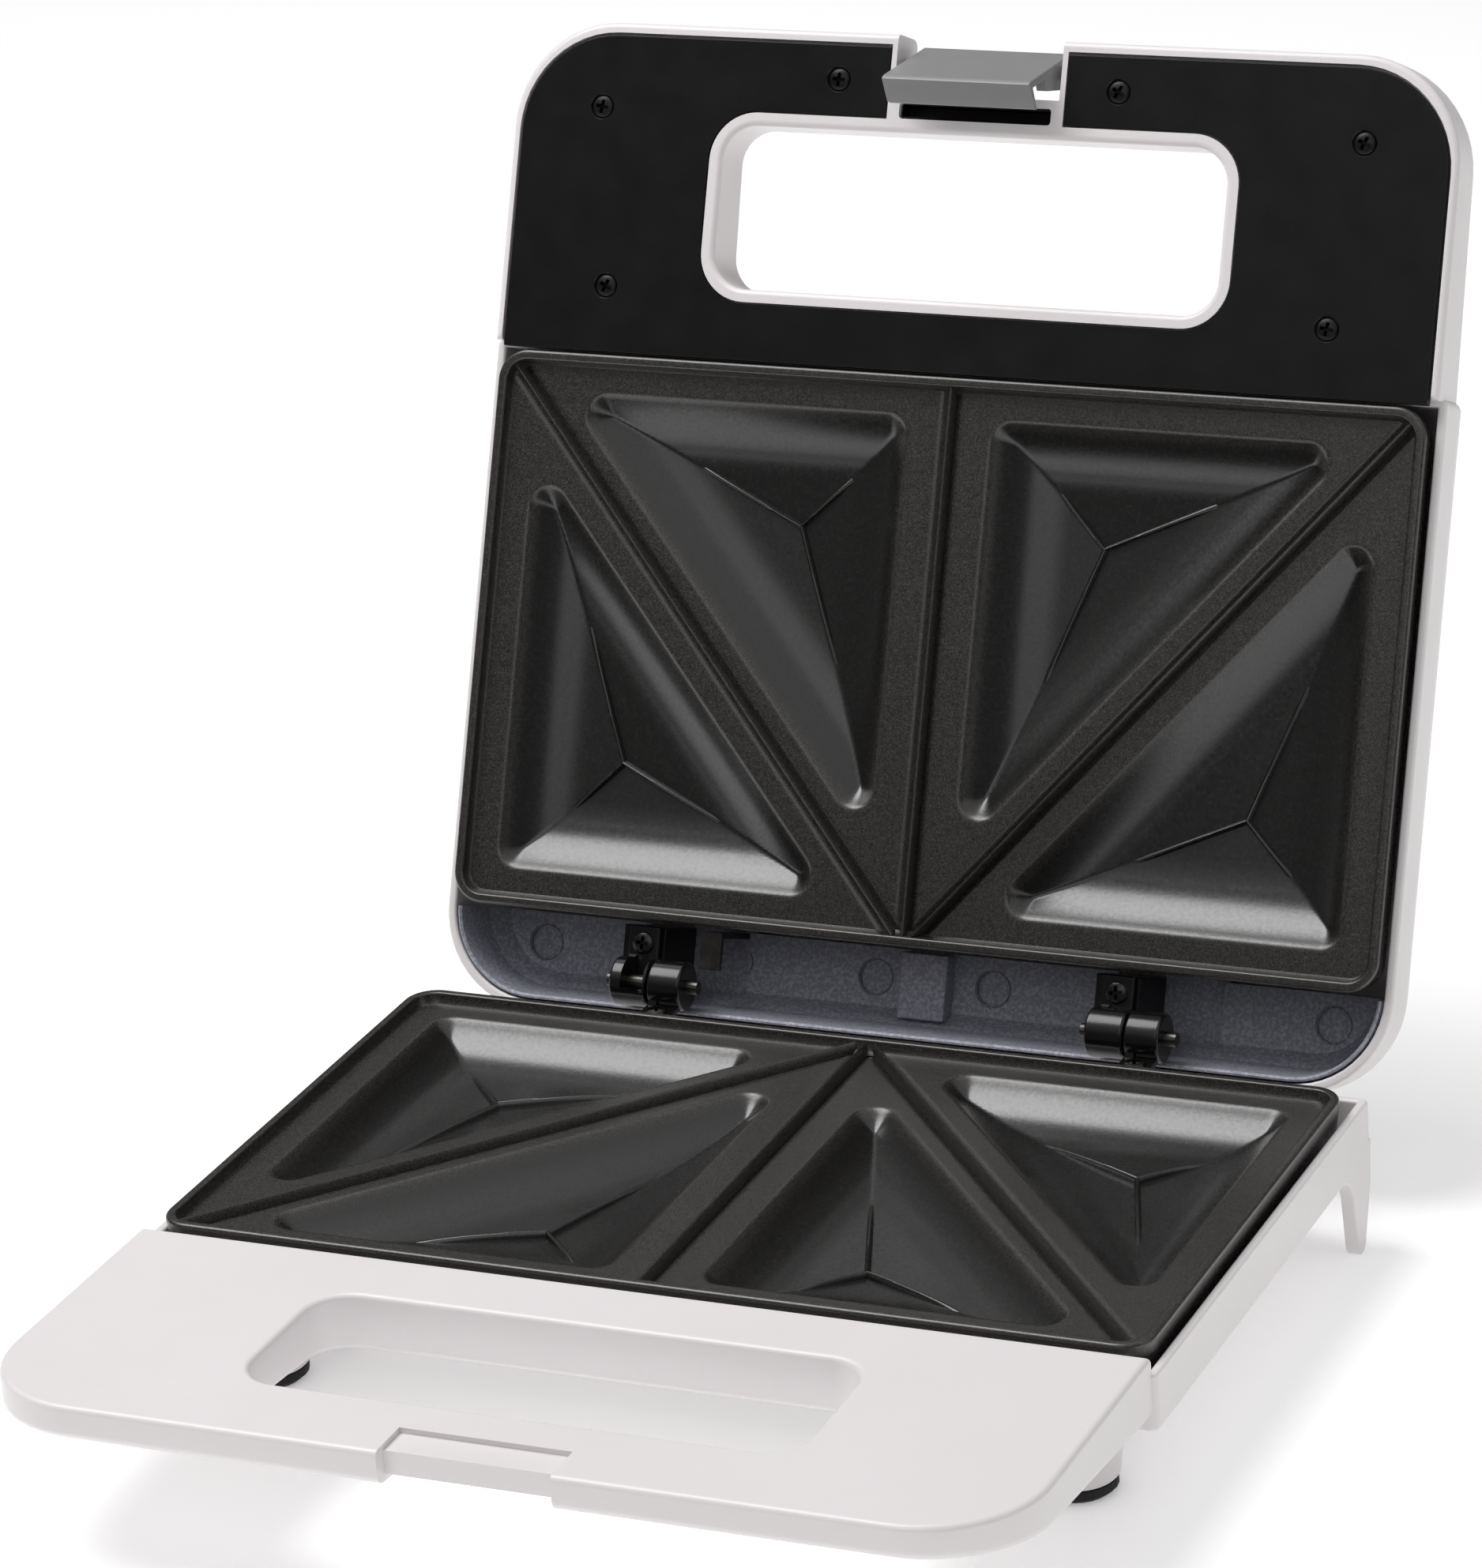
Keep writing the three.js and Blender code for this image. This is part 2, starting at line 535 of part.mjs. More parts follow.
function inletBush() {
  const z = BASE.z(INLET.depth);
  return cut(
    toSolid(barrel(INLET.radius, BASE.rear - 4.6, BASE.rear + 2, INLET.x, z)),
    barrel(INLET.bore, BASE.rear - FAR, BASE.rear + FAR, INLET.x, z));
}

function terminalBlock() {
  const { x0, x1, y0, y1, top, bottom } = TERMINAL;
  return block(x0, x1, y0, y1, BASE.z(bottom), BASE.z(top));
}

// Sleeved wire from the terminal block to one end of the lower element; `way` is that end's side.
function wire(way) {
  const points = [
    [TERMINAL.x0 - 2 * GAP - 1, TERMINAL.y0 + 4 - way * 2, BASE.z(17)],
    [34, -26 - way * 2, BASE.z(16.2)],
    [14, -26 - way * 2, BASE.z(HEATER.depth)],
    [way * 6, -34, BASE.z(HEATER.depth)],
    [way * 6, MIDDLE + HEATER.halfY - 2, BASE.z(HEATER.depth)],
  ];
  return sweep(new THREE.CatmullRomCurve3(points.map((point) => new THREE.Vector3(...point))), 1, 20);
}

// ---------------------------------------------------------------- inner cover of the lid
const COVER = { inset: 2.6, front: PLATE_REAR + 1.2, thick: 1.5, floor: 20.5 };
const COVER_STEPS = [[3.9, 0], [7.5, 1.2], [8.3, 3], [COVER.floor, 7]];

// Deep two-step tray behind the plate, open where the hinges reach through it.
function innerCover() {
  const tub = (grow, front) => keep(
    toSolid(loft(COVER_STEPS.map(([depth, inset]) => (
      atHeight(bodyOutline(LID, COVER.inset + inset + grow), LID.z(depth - grow)))))),
    block(-BODY_HALF, BODY_HALF, front, LID.rear, 0, FAR));
  const rib = block(-5.6, 5.6, COVER.front + 0.5, 0, LID.z(COVER.floor - 3), LID.z(COVER.floor - 1));
  const windows = HINGE_CENTRES.map((centre) => (
    block(centre - 12.3, centre + 12.3, COVER.front - 1, BOSS.rear + GAP, LID.z(0), FAR)));
  const tray = tub(0, COVER.front).subtract(tub(COVER.thick, COVER.front + COVER.thick));
  return cut(add(tray, rib), ...windows);
}

// Bent strip that shows in the left-hand window beside the knuckle.
function springTab() {
  const [x0, x1] = [HINGE_CENTRES[0] + 6.4, HINGE_CENTRES[0] + 11.4];
  const face = block(x0, x1, -12.4, -4, LID.z(7.2), LID.z(6));
  return add(toSolid(face), block(x0, x1, -12.4, -11.2, LID.z(6), LID.z(BODY_DEPTH - WALL - GAP)));
}

// ---------------------------------------------------------------- clip
// Drawn in its resting swing, in the Y-Z plane: an outer arm from the lid's back edge down to a tip,
// a hook that turns back under the base's shelf, and two ears that carry it on the pin.
const CLIP = {
  back: [-211.9, 12.2], tip: [-202.3, -12], thick: 1.8, hookEnd: [-196.7, -6.5], hookAngle: 35,
};
const SHELF_REACH = 16.8;             // from the pin to the hook's holding face

function clip() {
  const { back, tip, thick, hookEnd, hookAngle } = CLIP;
  const length = Math.hypot(tip[0] - back[0], tip[1] - back[1]);
  const inward = [(back[1] - tip[1]) / length, (tip[0] - back[0]) / length];
  const along = [(tip[0] - back[0]) / length, (tip[1] - back[1]) / length];
  const onArm = (distance, depth) => [
    back[0] + along[0] * distance + inward[0] * depth, back[1] + along[1] * distance + inward[1] * depth];
  const swing = THREE.MathUtils.degToRad(hookAngle);
  const { y, z } = CLIP_PIVOT;
  const holding = [y + SHELF_REACH * Math.sin(swing), z - SHELF_REACH * Math.cos(swing)];
  const arm = [back, tip, hookEnd, holding, onArm(length - 2.4, thick), onArm(0, thick)];
  const ear = [
    onArm(1, 1), onArm(14.8, 1), [-202.3, -0.6],
    ...[0, 0.2, 0.4, 0.6].map((turns) => (
      arcPoint(y, z, PIN_RADIUS + 2, turns * Math.PI)))];
  const ears = [-1, 1].map((way) => profileAlongX(ear, way * CLIP_HALF, way * (CLIP_HALF - 2.4)));
  return cut(
    add(toSolid(profileAlongX(arm, -CLIP_HALF, CLIP_HALF)), ...ears),
    rod(PIN_RADIUS + GAP, -CLIP_HALF - 1, CLIP_HALF + 1, CLIP_PIVOT.y, CLIP_PIVOT.z));
}

function clipPin() {
  return rod(PIN_RADIUS, -BAY.half - 0.5, BAY.half + 0.5, CLIP_PIVOT.y, CLIP_PIVOT.z);
}

// ---------------------------------------------------------------- assembly
const base = new THREE.Group();
const lid = new THREE.Group();

function place(group, name, shape, material) {
  const geometry = shape instanceof THREE.BufferGeometry ? shape : toGeometry(shape);
  const mesh = new THREE.Mesh(geometry, material);
  mesh.name = name;
  group.add(mesh);
}

function addBase() {
  place(base, 'lower_housing', lowerHousing(), white);
  place(base, 'bottom_cover', bottomCover(), white);
  place(base, 'handle_under_cover', handleUnderCover(), white);
  place(base, 'lower_plate', plate(BASE), nonStick);
  place(base, 'lower_heater', heater(BASE), steel);
  place(base, 'lower_heat_shield', heatShield(BASE), aluminium);
  place(base, 'thermostat', disc(7, BASE.z(5), BASE.z(11.8), 0, MIDDLE), ceramic);
  place(base, 'thermal_fuse', rod(1.8, 18, 34, MIDDLE, BASE.z(14), 10), ceramic);
  place(base, 'foot_pad_left', footPad(-FOOT.x), rubber);
  place(base, 'foot_pad_right', footPad(FOOT.x), rubber);
  place(base, 'cord_inlet_bush', inletBush(), rubber);
  place(base, 'terminal_block', terminalBlock(), ceramic);
  place(base, 'wire_live', wire(1), wireSleeve);
  place(base, 'wire_neutral', wire(-1), wireSleeve);
  COVER_SCREWS.forEach((at, i) => (
    place(base, `bottom_screw_${i + 1}`, screw(at, BASE.z(BODY_DEPTH), -1), darkSteel)));
}

function addHinges() {
  HINGE_CENTRES.forEach((centre, i) => {
    const name = `hinge_${i === 0 ? 'left' : 'right'}`;
    const lidFace = LID_SEAT - GAP - LEAF.thick;
    const baseFace = BASE_SEAT + GAP + LEAF.thick;
    place(lid, `${name}_lid_leaf`, hingeLeaf(centre, LID_KNUCKLE, LID_SEAT, -1), hingeBlack);
    place(base, `${name}_base_leaf`, hingeLeaf(centre, BASE_KNUCKLE, BASE_SEAT, 1), hingeBlack);
    place(base, `${name}_pin`, hingePin(centre), darkSteel);
    place(lid, `${name}_lid_screw`, screw(leafScrew(centre, LID_KNUCKLE), lidFace, -1), darkSteel);
    place(base, `${name}_base_screw`, screw(leafScrew(centre, BASE_KNUCKLE), baseFace, 1), darkSteel);
  });
}

function addLid() {
  place(lid, 'upper_housing', upperHousing(), white);
  place(lid, 'handle_panel', handlePanel(), blackSatin);
  place(lid, 'inner_lid_cover', innerCover(), coverGrey);
  place(lid, 'spring_tab', springTab(), darkSteel);
  place(lid, 'upper_plate', plate(LID), nonStick);
  place(lid, 'upper_heater', heater(LID), steel);
  place(lid, 'upper_heat_shield', heatShield(LID), aluminium);
  PANEL_SCREWS.forEach((at, i) => (
    place(lid, `panel_screw_${i + 1}`, screw(at, LID.z(PANEL.screwSeat), -1), blackSatin)));
  place(lid, 'lamp_lens_red', lampLens(-LENS.apart), redLens);
  place(lid, 'lamp_lens_green', lampLens(LENS.apart), greenLens);
  place(lid, 'clip_pin', clipPin(), darkSteel);
  place(lid, 'latch_clip', clip(), clipGrey);
}

addBase();
addHinges();
addLid();

// Turn the lid open about the hinge axis, then stand the whole on its feet with its middle at y = 0.
lid.position.z = -HINGE_HEIGHT;
const turn = new THREE.Group();
turn.rotation.x = -OPEN_ANGLE;
turn.position.z = HINGE_HEIGHT;
turn.add(lid);

const toaster = new THREE.Group();
toaster.add(base, turn);
toaster.position.z = -FLOOR;
toaster.updateMatrixWorld(true);
const extent = new THREE.Box3().setFromObject(toaster, true);
toaster.position.y = -(extent.min.y + extent.max.y) / 2;

export default toaster;
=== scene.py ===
"""Open sandwich toaster: smooth housings, cast plates with triangular pockets, black handle panel,
hinges and a grey latch clip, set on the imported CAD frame.

Shapes are drawn in millimetres with the toaster closed: X along the hinge, -Y to the handles, the
hinge axis at y = 0 and the base's mating plane at z = 0. Each piece is then carried to its place, the
lid's pieces turned open about the hinge as the frame has it.
"""
import json
import math

import bmesh
import bpy
import numpy as np
from mathutils import Matrix, Vector


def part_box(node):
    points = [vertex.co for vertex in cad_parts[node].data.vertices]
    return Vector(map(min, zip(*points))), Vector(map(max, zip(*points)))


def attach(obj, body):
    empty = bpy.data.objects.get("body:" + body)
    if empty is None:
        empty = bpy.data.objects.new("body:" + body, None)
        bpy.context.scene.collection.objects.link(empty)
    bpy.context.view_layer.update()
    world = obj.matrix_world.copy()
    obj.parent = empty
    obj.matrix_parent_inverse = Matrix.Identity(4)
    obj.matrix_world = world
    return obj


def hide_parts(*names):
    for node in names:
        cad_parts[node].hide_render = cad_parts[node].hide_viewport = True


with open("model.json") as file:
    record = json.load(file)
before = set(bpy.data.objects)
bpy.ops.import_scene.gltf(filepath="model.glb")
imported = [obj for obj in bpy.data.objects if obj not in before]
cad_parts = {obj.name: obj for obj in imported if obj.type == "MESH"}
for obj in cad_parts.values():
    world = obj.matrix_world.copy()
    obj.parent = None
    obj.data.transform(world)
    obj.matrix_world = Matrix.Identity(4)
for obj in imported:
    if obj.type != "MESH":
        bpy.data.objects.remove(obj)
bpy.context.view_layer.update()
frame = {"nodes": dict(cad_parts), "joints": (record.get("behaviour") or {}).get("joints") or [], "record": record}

# ------------------------------------------------------------------ driving dimensions, millimetres
MM = 0.001
WALL = 2.1                            # moulded wall thickness
GAP = 0.3                             # between neighbouring pieces
FAR = 60.0                            # beyond everything, for cutting right through
MATING_GAP = 1.6                      # between the two handles when closed
HINGE_HEIGHT = MATING_GAP / 2
WALL_TOP = 3.8                        # side walls stand this far below their handle's face
BODY_DEPTH = 31.0                     # from a mating plane to the flat of the same shell
SOFT_EDGE = 1.3                       # rounding of moulded edges
OUTER_EDGE = 2.2                      # rounding of a handle's outer edge
BODY_FRONT_CORNER = 2.0
HEAD_RADIUS = 2.5                     # screw heads
HEAD_ROOM = 2.75                      # counterbore round a panel screw
SCREW_WELL = 2.0                      # opening under a head, for its cross recess

JOINTS = {joint["name"]: joint for joint in frame["joints"]}
HINGE = Vector(JOINTS["lid_hinge"]["pos_m"])
OPEN_ANGLE = math.radians(JOINTS["lid_hinge"]["range_deg"][0])
ORIGIN = HINGE - Vector((0, 0, HINGE_HEIGHT * MM))


def base_box(node):
    """A base node's lowest and highest corners, in the drawing's millimetres."""
    low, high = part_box(node)
    return (Vector(low) - ORIGIN) / MM, (Vector(high) - ORIGIN) / MM


PLATE_LOW, PLATE_HIGH = base_box("lower_plate")
PLATE_HALF = PLATE_HIGH.x
PLATE_FRONT, PLATE_REAR = PLATE_LOW.y, PLATE_HIGH.y
RIM_PROUD = PLATE_HIGH.z
PAD_LOW, PAD_HIGH = base_box("foot_pad_right")
FOOT_X = (PAD_LOW.x + PAD_HIGH.x) / 2
FOOT_Y = (PAD_LOW.y + PAD_HIGH.y) / 2
FLOOR = PAD_LOW.z
FOOT_END = PAD_HIGH.z + GAP
BODY_HALF = base_box("lower_housing")[1].x
BODY_FRONT = PLATE_FRONT - WALL - 0.5
HANDLE_HALF = BODY_HALF - 1.0
HANDLE_REAR = PLATE_FRONT - 1.8
HANDLE_CORNER = 24.0
BASE_HANDLE_FRONT = base_box("lower_housing")[0].y
HINGE_CENTRES = (-56.2, 56.2)
KNUCKLE_RADIUS = 5.5
LID_SEAT = 4.8                        # depth of the face that a lid leaf is screwed to

TO_BASE = Matrix.Translation(ORIGIN) @ Matrix.Scale(MM, 4)
TO_LID = (
    Matrix.Translation(HINGE)
    @ Matrix.Rotation(OPEN_ANGLE, 4, "X")
    @ Matrix.Scale(MM, 4)
    @ Matrix.Translation((0, 0, -HINGE_HEIGHT))
)


class Side:
    """One half of the toaster: how depth behind its mating plane becomes height, and its own outlines.

    rear and corner shape the body's outline, and wall_foot is the depth where its straight wall ends.
    belly is (draw, fullness): how far the shell draws in from there to its flat, and how roundly.
    The handle runs from front, thin there, back to the body, thick there; hole is its finger hole's
    half length, front, rear and corner radius.
    """

    def __init__(self, body, matrix, sign, face, rear, corner, wall_foot, belly, front, thin, thick, hole):
        self.body, self.matrix = body, matrix
        self.sign, self.face = sign, face
        self.rear, self.corner = rear, corner
        self.wall_foot, self.belly = wall_foot, belly
        self.front, self.thin, self.thick = front, thin, thick
        self.hole = hole

    def z(self, depth):
        return self.face + self.sign * depth

    def handle_depth(self, y):
        along = (HANDLE_REAR - y) / (HANDLE_REAR - BASE_HANDLE_FRONT)
        return self.thick + (self.thin - self.thick) * along


BASE = Side(
    "base", TO_BASE, sign=-1, face=0.0,
    rear=PLATE_REAR + 5.3, corner=1.5, wall_foot=15.2, belly=(18.4, 1.5),
    front=BASE_HANDLE_FRONT, thin=7.4, thick=13.6, hole=(59.9, -197.2, -157.5, 9.0))
LID = Side(
    "lid", TO_LID, sign=1, face=MATING_GAP,
    rear=9.0, corner=22.0, wall_foot=12.4, belly=(13.0, 0.85),
    front=BASE_HANDLE_FRONT + 4.8, thin=11.2, thick=15.4, hole=(59.2, -191.6, -155.3, 8.0))


# ------------------------------------------------------------------ node materials
SUNK = "sunk"                         # plate attribute: 0 on the lands, 1 down in a pocket
SUNK_START, SUNK_SPAN = 0.2, 2.0      # how far below the land it starts to rise, and over what depth
COAT_SHINE = 0.85                     # specular level of the non-stick coat


def new_material(name, color, roughness, metallic=0.0):
    material = bpy.data.materials.new(name)
    material.use_nodes = True
    shader = material.node_tree.nodes["Principled BSDF"]
    shader.inputs["Base Color"].default_value = (*color, 1)
    shader.inputs["Roughness"].default_value = roughness
    shader.inputs["Metallic"].default_value = metallic
    return material, shader


class Recipe:
    """Adds procedural detail to a material, all of it in the object's own coordinates."""

    def __init__(self, material, shader):
        self.tree = material.node_tree
        self.shader = shader
        self.place = self.tree.nodes.new("ShaderNodeTexCoord").outputs["Object"]

    def noise(self, cell_mm, detail=2.0):
        node = self.tree.nodes.new("ShaderNodeTexNoise")
        node.inputs["Scale"].default_value = 1000 / cell_mm
        node.inputs["Detail"].default_value = detail
        self.tree.links.new(self.place, node.inputs["Vector"])
        return node.outputs["Fac"]

    def attribute(self, name):
        node = self.tree.nodes.new("ShaderNodeAttribute")
        node.attribute_name = name
        return node.outputs["Fac"]

    def times(self, first, second):
        node = self.tree.nodes.new("ShaderNodeMath")
        node.operation = "MULTIPLY"
        self.tree.links.new(first, node.inputs[0])
        self.tree.links.new(second, node.inputs[1])
        return node.outputs["Value"]

    def cells(self, cell_mm):
        node = self.tree.nodes.new("ShaderNodeTexVoronoi")
        node.inputs["Scale"].default_value = 1000 / cell_mm
        self.tree.links.new(self.place, node.inputs["Vector"])
        return node.outputs["Distance"]

    def ramp(self, value, low, high, first, last):
        node = self.tree.nodes.new("ShaderNodeMapRange")
        node.inputs["From Min"].default_value = low
        node.inputs["From Max"].default_value = high
        node.inputs["To Min"].default_value = first
        node.inputs["To Max"].default_value = last
        self.tree.links.new(value, node.inputs["Value"])
        return node.outputs["Result"]

    def colours(self, factor, first, second):
        node = self.tree.nodes.new("ShaderNodeMix")
        node.data_type = "RGBA"
        node.inputs["A"].default_value = (*first, 1)
        node.inputs["B"].default_value = (*second, 1)
        self.tree.links.new(factor, node.inputs["Factor"])
        self.tree.links.new(node.outputs["Result"], self.shader.inputs["Base Color"])

    def roughness(self, value):
        self.tree.links.new(value, self.shader.inputs["Roughness"])

    def bump(self, value, height_mm, strength=1.0):
        node = self.tree.nodes.new("ShaderNodeBump")
        node.inputs["Distance"].default_value = height_mm * MM
        node.inputs["Strength"].default_value = strength
        self.tree.links.new(value, node.inputs["Height"])
        self.tree.links.new(node.outputs["Normal"], self.shader.inputs["Normal"])


def moulded(name, color, roughness, grain_mm=0.5, height_mm=0.004, spread=0.06, shine=0.5):
    """Injection-moulded plastic: a faint colour drift, uneven gloss and a fine grain."""
    material, shader = new_material(name, color, roughness)
    shader.inputs["Specular IOR Level"].default_value = shine
    recipe = Recipe(material, shader)
    drift = recipe.noise(45)
    recipe.colours(recipe.ramp(drift, 0.3, 0.7, 0, 1), color, tuple(c * (1 - spread) for c in color))
    recipe.roughness(recipe.ramp(recipe.noise(9), 0.3, 0.7, roughness * 0.9, roughness * 1.1))
    recipe.bump(recipe.noise(grain_mm), height_mm)
    return material


def non_stick(name, color, fleck, roughness):
    """Sprayed non-stick coat: dark, finely pebbled and flecked, glossier in the pockets, its flecks faded down in
    the pockets as painted shade.
    """
    material, shader = new_material(name, color, roughness)
    shader.inputs["Specular IOR Level"].default_value = COAT_SHINE
    recipe = Recipe(material, shader)
    sunk = recipe.attribute(SUNK)
    flecks = recipe.ramp(recipe.noise(0.32, detail=1.0), 0.40, 0.70, 0, 1)
    # Painted shade: the flecks fade to 0.15 of their strength down in the pockets, so the pockets' colour is
    # darker.
    recipe.colours(recipe.times(flecks, recipe.ramp(sunk, 0, 1, 1, 0.15)), color, fleck)
    patches = recipe.ramp(recipe.noise(0.9), 0.3, 0.7, 0.85, 1.15)
    recipe.roughness(recipe.times(patches, recipe.ramp(sunk, 0, 1, roughness * 1.3, roughness)))
    recipe.bump(recipe.noise(0.7), 0.02, 0.5)
    return material


def speckled_grey():
    """Heat-proof moulding with a fine metallic fleck."""
    color = (0.240, 0.248, 0.300)
    material, shader = new_material("cover_grey", color, 0.45)
    recipe = Recipe(material, shader)
    recipe.colours(recipe.ramp(recipe.noise(0.8), 0.42, 0.68, 0, 1), color, (0.400, 0.410, 0.460))
    recipe.roughness(recipe.ramp(recipe.noise(1.2), 0.3, 0.7, 0.36, 0.55))
    recipe.bump(recipe.noise(1.0), 0.05, 0.7)
    return material


def brushed(name, color, roughness):
    """Metal with fine scratches and patches of uneven polish."""
    material, shader = new_material(name, color, roughness, metallic=1.0)
    recipe = Recipe(material, shader)
    recipe.colours(recipe.noise(3.0), tuple(c * 0.8 for c in color), color)
    recipe.roughness(recipe.ramp(recipe.noise(1.5), 0.3, 0.7, roughness * 0.8, roughness * 1.3))
    recipe.bump(recipe.noise(0.35), 0.01)
    return material


def fired_clay():
    """Chalky white insulator with pits."""
    material, shader = new_material("ceramic", (0.76, 0.72, 0.62), 0.8)
    recipe = Recipe(material, shader)
    recipe.colours(recipe.noise(1.5), (0.70, 0.66, 0.56), (0.80, 0.77, 0.68))
    recipe.bump(recipe.cells(0.8), 0.05, 0.5)
    return material


def woven_sleeve():
    """Glass-fibre sleeve, a crossed fine weave."""
    material, shader = new_material("wire_sleeve", (0.25, 0.08, 0.02), 0.7)
    recipe = Recipe(material, shader)
    weave = recipe.cells(0.5)
    recipe.colours(weave, (0.32, 0.11, 0.03), (0.14, 0.04, 0.01))
    recipe.bump(weave, 0.08)
    return material


def lens(name, color):
    """Tinted lamp lens: clear enough to glow at its edge, with a faint ripple."""
    material, shader = new_material(name, color, 0.12)
    shader.inputs["Transmission Weight"].default_value = 0.35
    recipe = Recipe(material, shader)
    recipe.roughness(recipe.ramp(recipe.noise(2.0), 0.3, 0.7, 0.08, 0.2))
    recipe.bump(recipe.noise(1.0), 0.01)
    return material


MATERIALS = {
    "white_plastic": moulded("white_plastic", (0.790, 0.755, 0.760), 0.34, 0.7, 0.005, 0.025),
    "black_satin": moulded("black_satin", (0.0050, 0.0047, 0.0052), 0.34, 0.45, 0.012, 0.25, 0.28),
    "clip_grey": moulded("clip_grey", (0.250, 0.250, 0.250), 0.40, 0.5, 0.006, 0.05),
    "cover_grey": speckled_grey(),
    "non_stick": non_stick("non_stick", (0.0035, 0.0032, 0.0030), (0.052, 0.045, 0.038), 0.25),
    "hinge_black": moulded("hinge_black", (0.0060, 0.0055, 0.0052), 0.22, 2.0, 0.03, 0.3),
    "rubber": moulded("rubber", (0.012, 0.012, 0.012), 0.8, 0.5, 0.05, 0.2),
    "ceramic": fired_clay(),
    "wire_sleeve": woven_sleeve(),
    "element_steel": brushed("element_steel", (0.42, 0.40, 0.37), 0.32),
    "dark_steel": brushed("dark_steel", (0.09, 0.085, 0.08), 0.35),
    "shield_aluminium": brushed("shield_aluminium", (0.72, 0.72, 0.73), 0.38),
    "red_lens": lens("red_lens", (0.55, 0.01, 0.01)),
    "green_lens": lens("green_lens", (0.01, 0.36, 0.05)),
}


def paint_frame():
    """Gives every CAD node its slot's procedural material."""
    for subpart in frame["record"]["subparts"]:
        node = frame["nodes"][subpart["node"]]
        node.data.materials.clear()
        node.data.materials.append(MATERIALS[subpart["material_slot"]])


# ------------------------------------------------------------------ outlines
def rounded_box(x0, x1, y0, y1, radii, inset=0.0, steps=12):
    """Counterclockwise; radii run front-left, front-right, rear-right, rear-left."""
    if not isinstance(radii, (tuple, list)):
        radii = (radii,) * 4
    corners = ((x0, y0, 1, 1, 180), (x1, y0, -1, 1, 270), (x1, y1, -1, -1, 0), (x0, y1, 1, -1, 90))
    points = []
    for (x, y, in_x, in_y, start), outer in zip(corners, radii):
        radius = max(outer - inset, 0.3)
        cx, cy = x + in_x * (inset + radius), y + in_y * (inset + radius)
        for i in range(steps + 1):
            angle = math.radians(start + 90 * i / steps)
            points.append((cx + radius * math.cos(angle), cy + radius * math.sin(angle)))
    return points


def handle_outline(side, inset):
    return rounded_box(-HANDLE_HALF, HANDLE_HALF, side.front, HANDLE_REAR,
                       (HANDLE_CORNER, HANDLE_CORNER, 0, 0), inset)


def hole_outline(side, grow):
    half, front, rear, corner = side.hole
    return rounded_box(-half, half, front, rear, corner, -grow)


def body_outline(side, inset):
    return rounded_box(-BODY_HALF, BODY_HALF, BODY_FRONT, side.rear,
                       (BODY_FRONT_CORNER, BODY_FRONT_CORNER, side.corner, side.corner), inset)


def at_height(outline, z):
    """An (x, y) outline in space; z is one height, or a function of y."""
    return [(x, y, z(y) if callable(z) else z) for x, y in outline]


def outer_face(side, deeper):
    """Height of a handle's sloping outer face as a function of y, moved deeper."""
    return lambda y: side.z(side.handle_depth(y) + deeper)


def cylinder(radius, low, high):
    """Profile for turned(): a plain cylinder between two heights."""
    return [(0, low), (radius, low), (radius, high), (0, high)]


def quarter(radius, steps=4):
    """(inset, drop) pairs round a quarter circle, from the flank in to the face."""
    return [
        (radius * (1 - math.cos(math.radians(a))), radius * (1 - math.sin(math.radians(a))))
        for a in (90 * i / steps for i in range(steps + 1))
    ]


# ------------------------------------------------------------------ meshes
def loft(rings, capped=True):
    bm = bmesh.new()
    rows = [[bm.verts.new(point) for point in ring] for ring in rings]
    for low, high in zip(rows, rows[1:]):
        for i in range(len(low)):
            j = (i + 1) % len(low)
            bm.faces.new((low[i], low[j], high[j], high[i]))
    if capped:
        bm.faces.new(rows[0])
        bm.faces.new(rows[-1])
        bmesh.ops.recalc_face_normals(bm, faces=bm.faces)
    return bm


def prism(outline, z0, z1):
    return loft([at_height(outline, z0), at_height(outline, z1)])


def block(x0, x1, y0, y1, z0, z1):
    return prism([(x0, y0), (x1, y0), (x1, y1), (x0, y1)], z0, z1)


def soft_block(x0, x1, y0, y1, z0, z1, radius):
    bm = block(x0, x1, y0, y1, z0, z1)
    bmesh.ops.bevel(bm, geom=bm.edges[:], offset=radius, segments=3, profile=0.5, affect="EDGES")
    return bm


def push_along_x(profile, x0, x1, radius=0.0):
    """Closed profile of (y, z) pairs made into a bar along X, its end edges rounded."""
    bm = loft([[(x, y, z) for y, z in profile] for x in (x0, x1)])
    if radius:
        ends = [e for e in bm.edges if abs(e.verts[0].co.x - e.verts[1].co.x) < 1e-6]
        bmesh.ops.bevel(bm, geom=ends, offset=radius, segments=3, profile=0.5, affect="EDGES")
    return bm


def turned(profile, centre, axis="Z", steps=40):
    """Profile of (radius, height) pairs turned about an axis through centre."""
    rings = []
    for radius, height in profile:
        ring = []
        for i in range(steps):
            a = 2 * math.pi * i / steps
            u, v = max(radius, 0.01) * math.cos(a), max(radius, 0.01) * math.sin(a)
            point = {"Z": (u, v, height), "X": (height, u, v), "Y": (v, height, u)}[axis]
            ring.append(tuple(c + p for c, p in zip(centre, point)))
        rings.append(ring)
    return loft(rings)


def link(name, bm):
    mesh = bpy.data.meshes.new(name)
    bm.to_mesh(mesh)
    bm.free()
    obj = bpy.data.objects.new(name, mesh)
    bpy.context.scene.collection.objects.link(obj)
    return obj


def bake(obj):
    """Turns an object's modifiers into its mesh."""
    graph = bpy.context.evaluated_depsgraph_get()
    mesh = bpy.data.meshes.new_from_object(obj.evaluated_get(graph))
    obj.modifiers.clear()
    obj.data = mesh


def carve(obj, operation, *tools):
    for bm in tools:
        tool = link("tool", bm)
        modifier = obj.modifiers.new("carve", "BOOLEAN")
        modifier.operation, modifier.solver, modifier.object = operation, "EXACT", tool
        bake(obj)
        bpy.data.objects.remove(tool)
    return obj


def take_back(obj):
    """The object's mesh as a bmesh again; the object itself goes."""
    bm = bmesh.new()
    bm.from_mesh(obj.data)
    bpy.data.objects.remove(obj)
    return bm


